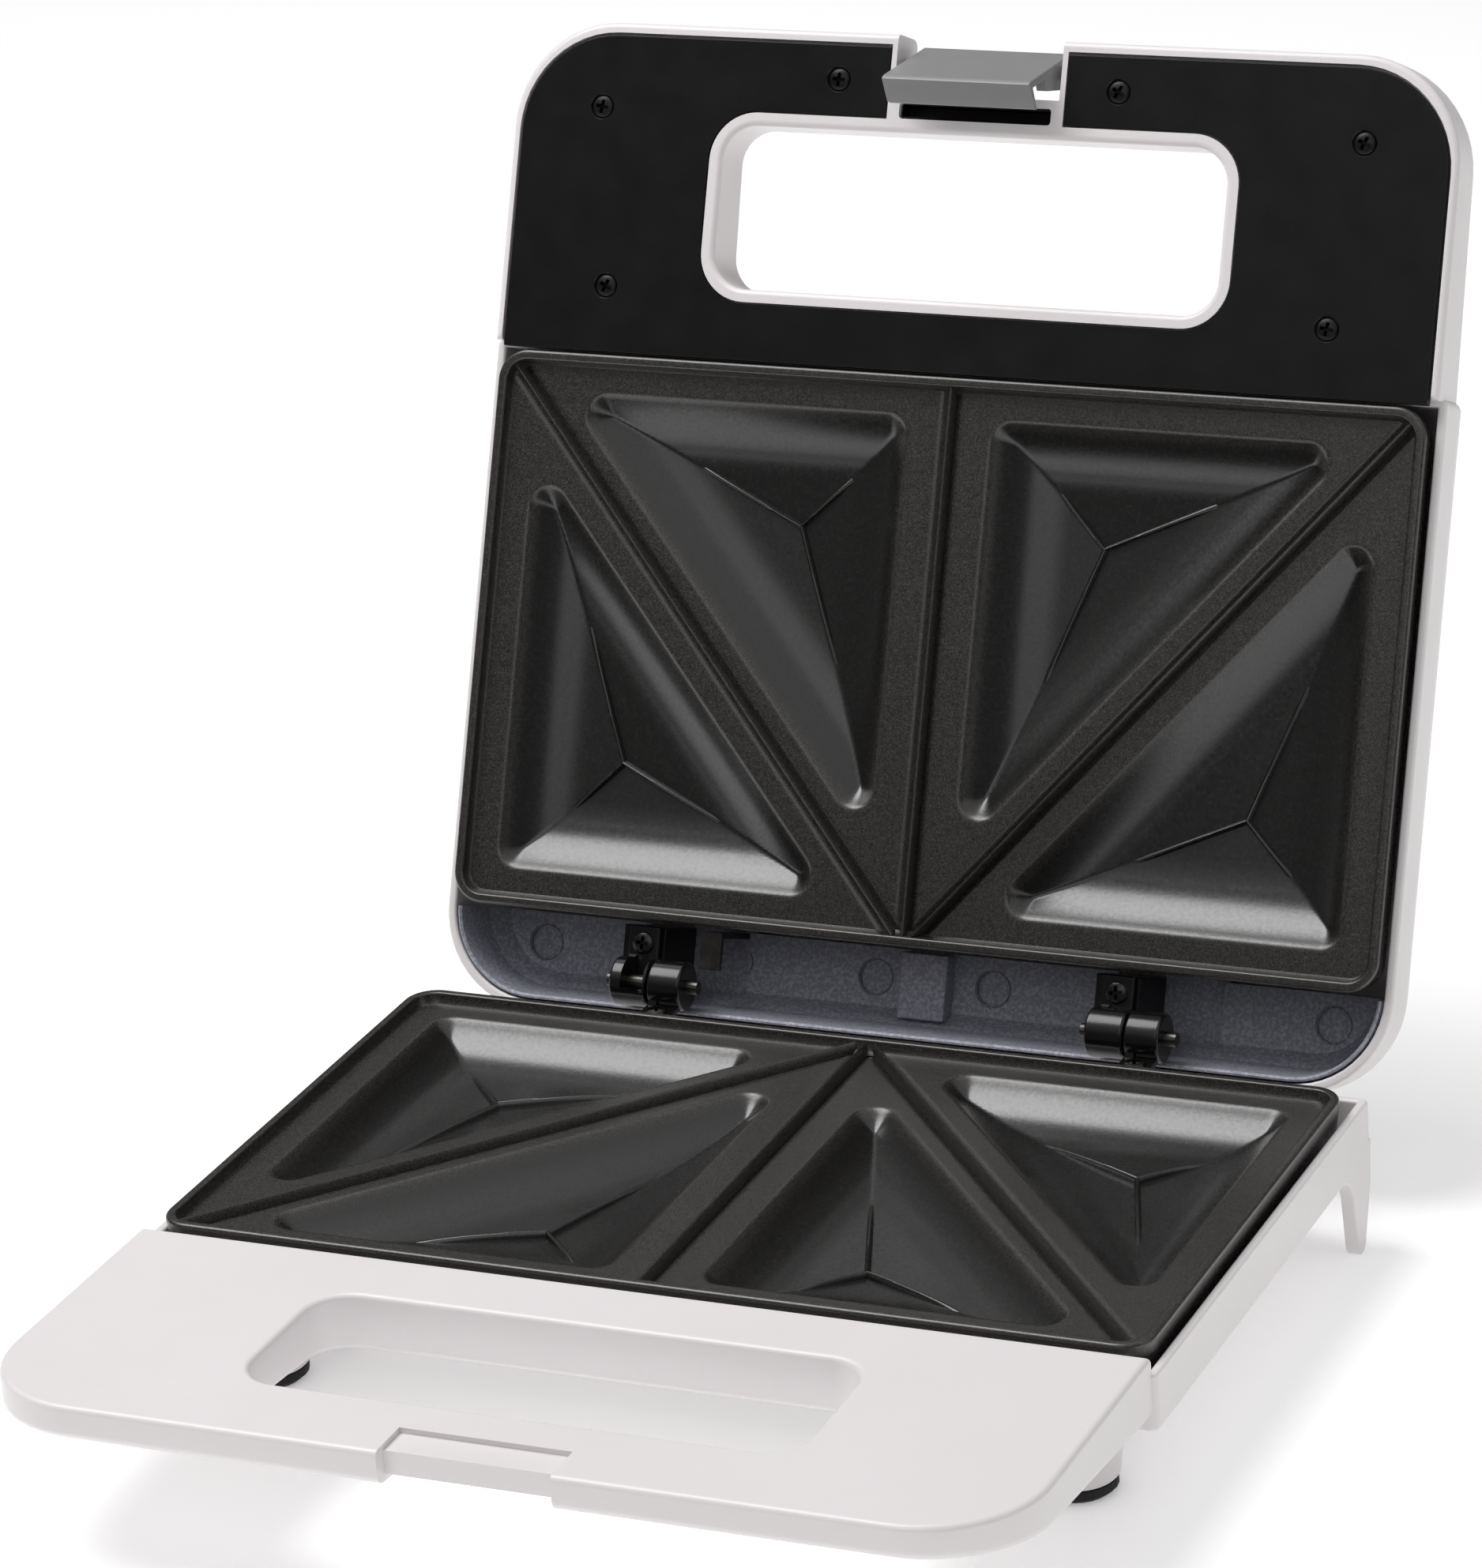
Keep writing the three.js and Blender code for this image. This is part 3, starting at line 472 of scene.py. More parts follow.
def cut(obj, *tools):
    return carve(obj, "DIFFERENCE", *tools)


def fuse(obj, *parts):
    return carve(obj, "UNION", *parts)


def gather(name, bms):
    """Several meshes as one object, without joining their surfaces."""
    whole = bmesh.new()
    for bm in bms:
        mesh = bpy.data.meshes.new("part")
        bm.to_mesh(mesh)
        bm.free()
        whole.from_mesh(mesh)
        bpy.data.meshes.remove(mesh)
    return link(name, whole)


def finish_piece(obj, side, slot, smooth_angle=38, body=None):
    """Shades a drawn piece, carries it to its place and makes it ride on its body, the side's own
    unless another is named."""
    mesh = obj.data
    mesh.shade_smooth()
    mesh.set_sharp_from_angle(angle=math.radians(smooth_angle))
    weighted = obj.modifiers.new("even", "WEIGHTED_NORMAL")
    weighted.keep_sharp = True
    bake(obj)
    obj.data.materials.clear()
    obj.data.materials.append(MATERIALS[slot])
    obj.data.transform(side.matrix)
    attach(obj, body or side.body)
    return obj


# ------------------------------------------------------------------ shapes shared by both housings
def rounded_handle(side):
    """Handle block whose face, flank and underside run into each other on soft edges."""
    near = [
        at_height(handle_outline(side, inset), side.z(drop))
        for inset, drop in reversed(quarter(SOFT_EDGE))
    ]
    far = [
        at_height(handle_outline(side, inset), outer_face(side, -drop))
        for inset, drop in quarter(OUTER_EDGE)
    ]
    return loft(near + far)


def finger_hole(side):
    """Cutter for the finger hole, flared so that both of its mouths come out rounded."""
    beyond = 2.0
    rings = [at_height(hole_outline(side, SOFT_EDGE), side.z(-beyond))]
    for inset, drop in reversed(quarter(SOFT_EDGE)):
        rings.append(at_height(hole_outline(side, inset), side.z(drop)))
    for inset, drop in quarter(SOFT_EDGE):
        rings.append(at_height(hole_outline(side, inset), outer_face(side, -drop)))
    rings.append(at_height(hole_outline(side, SOFT_EDGE), outer_face(side, beyond)))
    return loft(rings)


CREASE = ((0, 0), (0.15, 0.55), (0.7, 1.0))         # (inset, drop) where a straight wall ends sharply
BELLY_EASE = 1.1                      # how slowly a round belly leaves its wall


def shell_curve(side, steps=12):
    """(depth, inset) pairs from the wall's foot to the flat: creased if the belly is fuller than 1."""
    span = BODY_DEPTH - side.wall_foot
    draw, fullness = side.belly
    if fullness > 1:
        start, fall = CREASE[-1]
        crease = [(side.wall_foot + drop, inset) for inset, drop in CREASE]
        return crease + [
            (side.wall_foot + fall + (span - fall) * t, start + (draw - start) * t ** (1 / fullness))
            for t in (i / steps for i in range(1, steps + 1))
        ]
    angles = [0.5 * math.pi * i / steps for i in range(steps + 1)]
    return [
        (side.wall_foot + span * math.sin(a) ** BELLY_EASE, draw * (1 - math.cos(a)) ** fullness)
        for a in angles
    ]


def body_cup(side):
    """Shell of one half: flat, curve, straight wall, rounded lip, and the same again inside."""
    lip = 0.7
    curve = shell_curve(side)

    def ring(depth, inset):
        return at_height(body_outline(side, inset), side.z(depth))

    outside = [ring(depth, inset) for depth, inset in reversed(curve)]
    over = [ring(WALL_TOP + drop, inset) for inset, drop in quarter(lip)]
    back = [ring(WALL_TOP + drop, WALL - inset) for inset, drop in reversed(quarter(lip))]
    inside = [ring(max(depth - WALL, WALL_TOP + 2 * lip), inset + WALL) for depth, inset in curve]
    return loft(outside + over + back + inside)


# ------------------------------------------------------------------ lower housing
RECESS_HALF = 18.4
RECESS_BACK = -207.4
SHELF_TOP = 1.2
SHELF_FRONT = -214.8
SHELF_UNDER = 6.2
SHELF_UNDERCUT = 0.6
COVER_THICK = 1.5                     # the cover under the handle
FOOT_RADIUS, FOOT_ROOT_RADIUS = 8.8, 10.8
FOOT_EDGE, FOOT_FLARE_HEIGHT, FOOT_ROOT = 0.6, 12.0, 15.0
PRONG_THICK, PRONG_ROOT = 3.0, 13.0
PRONG_LEAN, PRONG_BEND = 0.8, 14.0    # its back leans in, down to this height above the floor
TOE_Y, TOE_RADIUS = -16.2, 2.8
ARCH_LEG, ARCH_RADIUS, ARCH_TOP = -20.6, 8.0, 15.5  # hollow curve in front of a prong
PRONG_FRONT = -29.5
BOTTOM_HALF, BOTTOM_MARGIN, BOTTOM_CORNER = 90.0, 21.0, 8.0
HINGE_SEAT = (-3.0, 9.5)              # pad under a base leaf, along X from the hinge's centre


def recess_cutters():
    """Shelf that the clip hooks under, let into the middle of the handle's front edge."""
    ahead = BASE.front - 1
    return [
        block(-RECESS_HALF, RECESS_HALF, ahead, RECESS_BACK, BASE.z(SHELF_TOP), FAR),
        block(-RECESS_HALF, RECESS_HALF, ahead, SHELF_FRONT, BASE.z(FAR), FAR),
        block(-RECESS_HALF, RECESS_HALF, ahead, RECESS_BACK + SHELF_UNDERCUT,
              BASE.z(FAR), BASE.z(SHELF_UNDER)),
    ]


def under_pocket():
    """Shallow pocket under the handle that its separate cover sits in."""
    rings = [
        at_height(handle_outline(BASE, WALL), outer_face(BASE, deeper))
        for deeper in (-COVER_THICK - GAP, 4.0)
    ]
    tool = link("pocket", loft(rings))
    notch = RECESS_HALF + WALL
    cut(tool, prism(hole_outline(BASE, WALL), BASE.z(FAR), FAR),
        block(-notch, notch, BASE.front - 1, RECESS_BACK + WALL, BASE.z(FAR), FAR))
    return take_back(tool)


def front_foot(x):
    """Round foot that flares up into the belly."""
    flare = FOOT_ROOT_RADIUS - FOOT_RADIUS
    edge = FOOT_END + FOOT_EDGE
    profile = [(0, FOOT_END), (FOOT_RADIUS - FOOT_EDGE, FOOT_END), (FOOT_RADIUS, edge)]
    profile += [
        (FOOT_RADIUS + flare * t, edge + FOOT_FLARE_HEIGHT * t ** 0.8) for t in (0.25, 0.5, 0.75, 1)
    ]
    profile += [(FOOT_ROOT_RADIUS, BASE.z(FOOT_ROOT)), (0, BASE.z(FOOT_ROOT))]
    return turned(profile, (x, FOOT_Y, 0))


def rear_prong(x0, x1):
    """Flat leg at the back corner with a rounded toe and a hollow curve in front."""
    top = BASE.z(PRONG_ROOT)
    toe = [
        (TOE_Y - TOE_RADIUS * math.cos(a), FLOOR + TOE_RADIUS - TOE_RADIUS * math.sin(a))
        for a in (math.radians(d) for d in range(0, 181, 20))
    ]
    hollow = [
        (ARCH_LEG - ARCH_RADIUS * (1 - math.cos(a)), BASE.z(ARCH_TOP) - ARCH_RADIUS * (1 - math.sin(a)))
        for a in (math.radians(d) for d in range(0, 91, 15))
    ]
    back = [(BASE.rear, top), (BASE.rear - PRONG_LEAN, FLOOR + PRONG_BEND)]
    return push_along_x(back + toe[::-1] + hollow + [(PRONG_FRONT, top)], x0, x1, 0.4)


def lower_housing():
    shell = link("lower_shell", body_cup(BASE))
    opening = rounded_box(-BOTTOM_HALF, BOTTOM_HALF, BODY_FRONT + BOTTOM_MARGIN,
                          BASE.rear - BOTTOM_MARGIN, BOTTOM_CORNER)
    cut(shell, prism(opening, BASE.z(BODY_DEPTH + 1), BASE.z(BODY_DEPTH - 4)))
    fuse(shell, front_foot(-FOOT_X), front_foot(FOOT_X))
    fuse(shell, rear_prong(BODY_HALF - PRONG_THICK, BODY_HALF),
         rear_prong(-BODY_HALF, PRONG_THICK - BODY_HALF))
    for centre in HINGE_CENTRES:
        fuse(shell, soft_block(centre + HINGE_SEAT[0], centre + HINGE_SEAT[1], BASE.rear - 4.5,
                               BASE.rear + 2.5, BASE.z(14), BASE.z(WALL_TOP), 0.5))
    inlet_low, inlet_high = base_box("cord_inlet_bush")
    inlet = ((inlet_low.x + inlet_high.x) / 2, 0, (inlet_low.z + inlet_high.z) / 2)
    bore = (inlet_high.z - inlet_low.z) / 2 + GAP
    cut(shell, turned(cylinder(bore, BASE.rear - 4, BASE.rear + 2), inlet, "Y"))
    finish_piece(shell, BASE, "white_plastic")
    handle = link("lower_handle", rounded_handle(BASE))
    cut(handle, finger_hole(BASE), *recess_cutters(), under_pocket())
    finish_piece(handle, BASE, "white_plastic")
    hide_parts("lower_housing")


# ------------------------------------------------------------------ upper housing
BAY_HALF, BAY_REAR, BAY_WALL = 19.4, -200.2, 1.2    # the clip's bay
SLOT = (17.8, -198.4, -194.7)         # half length, front and rear of the slot beside the bay
RING_EDGE = 2.9                       # white ring round the finger hole
LENS_BORE = 4.3
PANEL_HALF, PANEL_FRONT, PANEL_REAR = 108.6, -210.4, PLATE_FRONT - 0.6
PANEL_CORNER, PANEL_THICK, SCREW_SEAT = 22.0, 1.8, 0.9
PANEL_SCREWS = (
    (-89.4, -194.2), (-32.8, -202.7), (32.8, -202.7), (89.4, -194.2), (-84.7, -154.2), (84.7, -154.2))


def panel_outline(inset):
    return rounded_box(-PANEL_HALF, PANEL_HALF, PANEL_FRONT, PANEL_REAR,
                       (PANEL_CORNER, PANEL_CORNER, 0, 0), inset)


def panel_bed():
    """Cutter for the bed that the panel lies in, round the ring and the clip's bay."""
    tool = link("bed", prism(panel_outline(-0.55), LID.z(-2), LID.z(PANEL_THICK + GAP)))
    edge = BAY_HALF + BAY_WALL
    cut(tool, prism(hole_outline(LID, RING_EDGE), LID.z(-FAR), LID.z(FAR)),
        block(-edge, edge, LID.front - 1, LID.hole[1] - 1, LID.z(-FAR), LID.z(FAR)))
    return take_back(tool)


def upper_housing():
    shell = link("upper_shell", body_cup(LID))
    for name in ("lamp_lens_red", "lamp_lens_green"):
        low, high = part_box(name)
        centre = TO_LID.inverted() @ ((Vector(low) + Vector(high)) / 2)
        hole = cylinder(LENS_BORE, LID.z(BODY_DEPTH - 6), LID.z(BODY_DEPTH + 1))
        cut(shell, turned(hole, (centre.x, centre.y, 0)))
    finish_piece(shell, LID, "white_plastic")
    handle = link("upper_handle", rounded_handle(LID))
    half, front, rear = SLOT
    cut(handle, finger_hole(LID), panel_bed(),
        block(-BAY_HALF, BAY_HALF, LID.front - 1, BAY_REAR, LID.z(-1), FAR),
        soft_block(-half, half, front, rear, LID.z(-1), LID.z(6), 0.8))
    finish_piece(handle, LID, "white_plastic")
    # A black lining on the slot's walls, with its floor left out: painted shade inside the slot.
    gap = 0.25
    lining = soft_block(-half + gap, half - gap, front + gap, rear - gap, LID.z(0.9), LID.z(5.9), 0.6)
    floor_faces = [face for face in lining.faces if face.calc_center_median().z < LID.z(1.0)]
    bmesh.ops.delete(lining, geom=floor_faces, context="FACES_ONLY")
    finish_piece(link("slot_shade_lining", lining), LID, "black_satin")
    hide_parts("upper_housing")


def handle_panel():
    """Black panel with its counterbored screw seats."""
    rings = [at_height(panel_outline(inset), LID.z(drop)) for inset, drop in reversed(quarter(0.35, 2))]
    panel = link("panel", loft(rings + [at_height(panel_outline(0), LID.z(PANEL_THICK))]))
    notch = BAY_HALF + BAY_WALL + GAP
    cut(panel, prism(hole_outline(LID, RING_EDGE + GAP + 0.1), LID.z(-1), LID.z(6)),
        block(-notch, notch, PANEL_FRONT - 5, LID.hole[1], LID.z(-1), LID.z(6)))
    for x, y in PANEL_SCREWS:
        mouth = HEAD_ROOM + 0.2
        steps = [(0, -1), (mouth, -1), (mouth, 0), (HEAD_ROOM, 0.2), (HEAD_ROOM, SCREW_SEAT),
                 (SCREW_WELL, SCREW_SEAT)]
        seat = [(radius, LID.z(depth)) for radius, depth in steps]
        cut(panel, turned(seat + [(SCREW_WELL, FAR), (0, FAR)], (x, y, 0)))
    finish_piece(panel, LID, "black_satin")
    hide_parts("handle_panel")


# ------------------------------------------------------------------ screws
HEAD_RIM, HEAD_RISE = 0.3, 0.6        # straight rim, then the dome above it
SHANK_STUB = 1.1                      # drawn below a head, so that its cross has a bottom
CROSS_ARM, CROSS_HALF_WIDTH = 1.6, 0.42
CROSS_MOUTH, CROSS_BOTTOM, CROSS_TAPER = 1.2, -0.8, 0.75


def screw_head(x, y, seat, outward):
    """Domed head with a tapering cross recess; outward is the way it faces along Z."""
    root = seat - outward * SHANK_STUB
    shank = SCREW_WELL - 0.1
    profile = [(0, root), (shank, root), (shank, seat), (HEAD_RADIUS, seat)]
    profile.append((HEAD_RADIUS, seat + outward * HEAD_RIM))
    profile += [
        (HEAD_RADIUS * math.cos(a), seat + outward * (HEAD_RIM + HEAD_RISE * math.sin(a)))
        for a in (math.radians(d) for d in (18, 36, 54, 72))
    ]
    profile.append((0, seat + outward * (HEAD_RIM + HEAD_RISE)))
    head = link("head", turned(profile, (x, y, 0), steps=28))
    stopped_at = math.radians(17 + 3.1 * x)         # each screw was left at an angle of its own
    turn = Matrix.Rotation(stopped_at, 2)
    corners = ((-1, -1), (1, -1), (1, 1), (-1, 1))
    for long, wide in ((CROSS_ARM, CROSS_HALF_WIDTH), (CROSS_HALF_WIDTH, CROSS_ARM)):
        rings = []
        for share, lift in ((1.0, CROSS_MOUTH), (CROSS_TAPER, CROSS_BOTTOM)):
            ring = [turn @ Vector((sx * long * share, sy * wide * share)) for sx, sy in corners]
            rings.append([(x + v.x, y + v.y, seat + outward * lift) for v in ring])
        cut(head, loft(rings))
    return head


def screws():
    for i, (x, y) in enumerate(PANEL_SCREWS):
        head = screw_head(x, y, LID.z(SCREW_SEAT) - 0.05, -1)
        head.name = f"panel_screw_head_{i + 1}"
        finish_piece(head, LID, "black_satin")
        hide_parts(f"panel_screw_{i + 1}")


# ------------------------------------------------------------------ plates
LAND = 2.0                            # depths below the mating plane
POCKET_FLOOR = 9.0
SLOPE_WIDTH = 18.0                    # from a pocket's edge to where its floor levels out
BOWL_POWER = 2.7                      # above 1 a slope is steepest at the pocket's edge
EDGE_BLEND = 0.45                     # rounding of a pocket's edge
FACET_START, FACET_FALL = 0.6, 0.07   # where the floor's three facets begin, in slope widths, and their fall
RIM_EDGE = 2.2
RIM_CORNER = 7.0
SKIRT_DEPTH = 8.0
GRID_STEP = 0.6
RIB_LINES = [((0, PLATE_FRONT + 1.5), (0, PLATE_REAR - 1.5))]
RIB_LINES += [((way * 105.2, PLATE_FRONT + 3.4), (way * 2.4, PLATE_REAR - 2.3)) for way in (-1, 1)]
RIB_WIDTH = 1.9
CHANNEL_HALF, CHANNEL_DEPTH = 2.1, 1.0              # groove that each rib stands in
FRONT_TRIANGLE = ((10, -130), (93, -130), (10, -35))
REAR_TRIANGLE = ((99.5, -22.5), (17.5, -22.5), (99.5, -116.5))
POCKET_CORNER = 4.8
ARM_SHARE = 0.44                      # how far the star's arms reach towards the pocket's corners
ARM_WIDTH, ARM_HEIGHT = 1.6, 1.4
RIB_CREST = 0.2                       # depth of a rib's top
RIDGE_SECTION = ((-1, 0), (-0.8, 0.45), (-0.45, 0.88), (0, 1), (0.45, 0.88), (0.8, 0.45), (1, 0))
RIDGE_ROOT = 0.4                      # how far a ridge reaches down into the surface that it stands on


def triangles():
    """The four pockets' outlines, each as three counterclockwise corners."""
    for corners in (FRONT_TRIANGLE, REAR_TRIANGLE):
        yield [np.array(c, float) for c in corners]
        yield [np.array((-x, y), float) for x, y in reversed(corners)]


def edge_distances(corners, x, y):
    """Distance inward from each of a counterclockwise triangle's edges."""
    result = []
    for a, b in zip(corners, corners[1:] + corners[:1]):
        along = (b - a) / np.linalg.norm(b - a)
        result.append(along[0] * (y - a[1]) - along[1] * (x - a[0]))
    return result


def segment_distance(a, b, x, y):
    ab = b - a
    t = np.clip(((x - a[0]) * ab[0] + (y - a[1]) * ab[1]) / (ab @ ab), 0, 1)
    return np.hypot(x - a[0] - t * ab[0], y - a[1] - t * ab[1])


def inward_distance(corners, x, y):
    """Distance inward from a triangle with rounded corners, negative outside."""
    d = [e - POCKET_CORNER for e in edge_distances(corners, x, y)]
    sharp = np.minimum(np.minimum(d[0], d[1]), d[2])
    nearest = np.full_like(x, 1e9)
    inner = inset_corners(corners, POCKET_CORNER)
    for a, b in zip(inner, inner[1:] + inner[:1]):
        nearest = np.minimum(nearest, segment_distance(a, b, x, y))
    return np.where(sharp > 0, sharp, -nearest) + POCKET_CORNER


def incentre(corners):
    a, b, c = corners
    sides = [np.linalg.norm(c - b), np.linalg.norm(a - c), np.linalg.norm(b - a)]
    return (a * sides[0] + b * sides[1] + c * sides[2]) / sum(sides)


def inset_corners(corners, inset):
    centre = incentre(corners)
    radius = min(float(e) for e in edge_distances(corners, centre[0], centre[1]))
    return [centre + (corner - centre) * (1 - inset / radius) for corner in corners]


def pocket_depth(distance):
    """How far a pocket's surface lies below the land, from its distance inside the pocket's edge."""
    soft = np.where(distance > EDGE_BLEND, distance,
                    np.clip(distance + EDGE_BLEND, 0, None) ** 2 / (4 * EDGE_BLEND))
    t = np.clip(soft / SLOPE_WIDTH, 0, 1)
    bowl = (POCKET_FLOOR - LAND) * (1 - (1 - t) ** BOWL_POWER)
    return bowl + FACET_FALL * np.clip(soft - SLOPE_WIDTH * FACET_START, 0, None)


def plate_depth(x, y):
    """Depth of the plate's surface: land, pockets and the channels that the ribs stand in."""
    depth = np.full_like(x, LAND)
    for corners in triangles():
        distance = inward_distance(corners, x, y)
        depth = depth + np.where(distance > -EDGE_BLEND, pocket_depth(distance), 0)
    for a, b in RIB_LINES:
        share = segment_distance(np.array(a), np.array(b), x, y) / CHANNEL_HALF
        depth = depth + CHANNEL_DEPTH * np.clip(1 - share ** 2, 0, 1)
    return depth


def plate_field(side):
    """Lands and pockets as one fine sheet."""
    inset = RIM_EDGE + 0.4
    columns = round((2 * PLATE_HALF - 2 * inset) / GRID_STEP)
    rows = round((PLATE_REAR - PLATE_FRONT - 2 * inset) / GRID_STEP)
    xs = np.linspace(-PLATE_HALF + inset, PLATE_HALF - inset, columns)
    ys = np.linspace(PLATE_FRONT + inset, PLATE_REAR - inset, rows)
    x, y = np.meshgrid(xs, ys)
    z = side.z(0) + side.sign * plate_depth(x, y)
    bm = bmesh.new()
    verts = [bm.verts.new(p) for p in zip(x.ravel(), y.ravel(), z.ravel())]
    for row in range(rows - 1):
        for column in range(columns - 1):
            a = row * columns + column
            quad = (verts[a], verts[a + 1], verts[a + columns + 1], verts[a + columns])
            bm.faces.new(quad if side is BASE else quad[::-1])
    return bm


def plate_rim(side):
    """Raised rim all round: skirt, rounded top and the slope down to the land."""
    profile = [(0.9, SKIRT_DEPTH), (0.0, 0.6)]
    profile += [(inset, -RIM_PROUD + drop) for inset, drop in quarter(0.8)]
    profile += [(RIM_EDGE - inset, -RIM_PROUD + drop) for inset, drop in reversed(quarter(0.5))]
    profile += [(RIM_EDGE + 0.35, LAND - 0.5), (RIM_EDGE + 0.9, LAND - 0.02), (RIM_EDGE + 1.4, LAND + 0.6)]
    rings = [
        at_height(rounded_box(-PLATE_HALF, PLATE_HALF, PLATE_FRONT, PLATE_REAR, RIM_CORNER, inset),
                  side.z(depth))
        for inset, depth in profile
    ]
    bm = loft(rings, capped=False)
    bmesh.ops.recalc_face_normals(bm, faces=bm.faces)
    return bm


def ridge(a, b, width, foot, top, side):
    """Rounded ridge from a to b. Its foot's depth is a function of (x, y), and its top's of (x, y, t),
    where t runs from 0 at a to 1 at b."""
    a, b = np.array(a, float), np.array(b, float)
    along = (b - a) / np.linalg.norm(b - a)
    across = np.array((-along[1], along[0]))
    steps = max(6, round(np.linalg.norm(b - a) / 2.5))
    rings = []
    for i in range(steps + 1):
        t = i / steps
        centre = a + (b - a) * t
        root, high = foot(*centre) + RIDGE_ROOT, top(*centre, t)
        ring = []
        for offset, lift in RIDGE_SECTION:
            px, py = centre + across * offset * width / 2
            ring.append((px, py, side.z(root + (high - root) * lift)))
        rings.append(ring)
    return loft(rings)


def ribs(side):
    """Centre rib and the two diagonal ribs that meet at the back."""
    def foot(x, y):
        return LAND + CHANNEL_DEPTH

    def crest(x, y, t):
        return RIB_CREST

    for a, b in RIB_LINES:
        yield ridge(a, b, RIB_WIDTH, foot, crest, side)


def stars(side):
    """Three thin ridges from the middle of each pocket's floor towards its corners, dying out there."""
    def floor(x, y):
        return float(plate_depth(np.array([x]), np.array([y]))[0])

    def top(x, y, t):
        return floor(x, y) - ARM_HEIGHT * (1 - t ** 3) - 0.02

    for corners in triangles():
        centre = incentre(corners)
        for corner in corners:
            end = centre + (corner - centre) * ARM_SHARE
            yield ridge(centre, end, ARM_WIDTH, floor, top, side)


def plate(side, node):
    """One cast plate, its pockets marked for the coat's gloss and for its painted shade."""
    obj = gather(f"{node}_cast", [plate_field(side), plate_rim(side), *ribs(side), *stars(side)])
    sunk = [
        min(max((side.sign * (vertex.co.z - side.face) - LAND - SUNK_START) / SUNK_SPAN, 0.0), 1.0)
        for vertex in obj.data.vertices
    ]
    obj.data.attributes.new(SUNK, "FLOAT", "POINT").data.foreach_set("value", sunk)
    finish_piece(obj, side, "non_stick", smooth_angle=60)
    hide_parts(node)


# ------------------------------------------------------------------ lid's inner cover
COVER_INSET, COVER_FRONT, COVER_FLOOR = 2.6, PLATE_REAR + 1.2, 20.5
COVER_PROFILE = (
    (0.0, 4.1), (0.4, 3.8), (0.9, 4.2), (2.3, 15.4), (2.9, 16.4), (5.0, 19.5), (5.8, 20.2), (7.0, 20.5))
WINDOW_HALF = 12.3                    # opening in the cover for a hinge
WELL_MARGIN = 1.0
COVER_THICKNESS = 1.2
COVER_RIB_HALF = 5.6
EJECTOR_X = (-94, -47, -13, 15, 94)
EJECTOR_Y, EJECTOR_RADII = -5.8, (4.3, 3.9)
PILLAR = (-11.8, -1.6)                # lid leaf's pillar, along X from the hinge's centre


def cover_ring(inset, depth, steps=16):
    """Open ring behind the plate: along one side, round the back corners and along the other."""
    radius = LID.corner - COVER_INSET - inset
    centre_x = BODY_HALF - LID.corner
    centre_y = LID.rear - LID.corner
    points = [(centre_x + radius, COVER_FRONT)]
    for way, start in ((1, 0), (-1, 90)):
        for i in range(steps + 1):
            a = math.radians(start + 90 * i / steps)
            x = way * centre_x + radius * math.cos(a)
            points.append((x, max(COVER_FRONT, centre_y + radius * math.sin(a))))
    points.append((-centre_x - radius, COVER_FRONT))
    return [(x, y, LID.z(depth)) for x, y in points]


def ejector_groove(x):
    """Cutter for the round line that an ejector pin leaves on the cover's floor."""
    low, high = LID.z(COVER_FLOOR - 1), LID.z(COVER_FLOOR + 0.5)
    outer, inner = (turned(cylinder(radius, low, high), (x, EJECTOR_Y, 0)) for radius in EJECTOR_RADII)
    ring = cut(link("ring", outer), inner)
    return take_back(ring)


def cover_tray():
    """The tray's curved sheet, before it gets its thickness."""
    bm = bmesh.new()
    rows = [[bm.verts.new(p) for p in cover_ring(inset, depth)] for inset, depth in COVER_PROFILE]
    for low, high in zip(rows, rows[1:]):
        for i in range(len(low) - 1):
            bm.faces.new((low[i], low[i + 1], high[i + 1], high[i]))
    bm.faces.new(rows[-1])
    bmesh.ops.remove_doubles(bm, verts=bm.verts, dist=0.001)
    bmesh.ops.recalc_face_normals(bm, faces=bm.faces)
    return bm


def inner_cover():
    """Grey tray behind the plate, open at the hinges, with a well and a pillar behind each opening, the pillars
    black as painted shade.
    """
    cover = link("cover_tray", cover_tray())
    solid = cover.modifiers.new("thick", "SOLIDIFY")
    solid.thickness, solid.offset = COVER_THICKNESS, -1
    bake(cover)
    for centre in HINGE_CENTRES:
        cut(cover, block(centre - WINDOW_HALF, centre + WINDOW_HALF, COVER_FRONT - 3, 1.5,
                         LID.z(0), LID.z(FAR)))
    for x in EJECTOR_X:
        cut(cover, ejector_groove(x))
    finish_piece(cover, LID, "cover_grey", smooth_angle=24)
    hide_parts("inner_lid_cover")
    rib = soft_block(-COVER_RIB_HALF, COVER_RIB_HALF, COVER_FRONT + GAP, 2.5,
                     LID.z(15.5), LID.z(COVER_FLOOR + 0.4), 0.5)
    finish_piece(link("cover_marks", rib), LID, "cover_grey")
    wells, pillars = [], []
    for centre in HINGE_CENTRES:
        half = WINDOW_HALF + WELL_MARGIN
        wells.append(soft_block(centre - half, centre + half, COVER_FRONT - 1, 2.5,
                                LID.z(21.8), LID.z(23.5), 0.3))
        pillars.append(soft_block(centre + PILLAR[0], centre + PILLAR[1], COVER_FRONT + 0.2, -0.6,
                                  LID.z(LID_SEAT), LID.z(22), 0.3))
    finish_piece(gather("hinge_wells", wells), LID, "cover_grey")
    # The pillars are the housing's white bosses, coloured black: painted shade for the dark slot beside each lid
    # leaf.
    finish_piece(gather("hinge_pillars", pillars), LID, "black_satin")


# ------------------------------------------------------------------ hinges
LID_KNUCKLE = (-9.8, -1.0)            # along X from a hinge's centre
BASE_KNUCKLE = (-0.7, 7.2)
LEAF_WIDTH = 7.4
CHEEK = (0.4, 2.4)                    # the cheek that joins a knuckle to its leaf, from the knuckle's end
LEAF_THICK, LEAF_FRONT, LEAF_REAR, LEAF_SCREW_Y = 1.6, -12.4, -1.0, -8.6


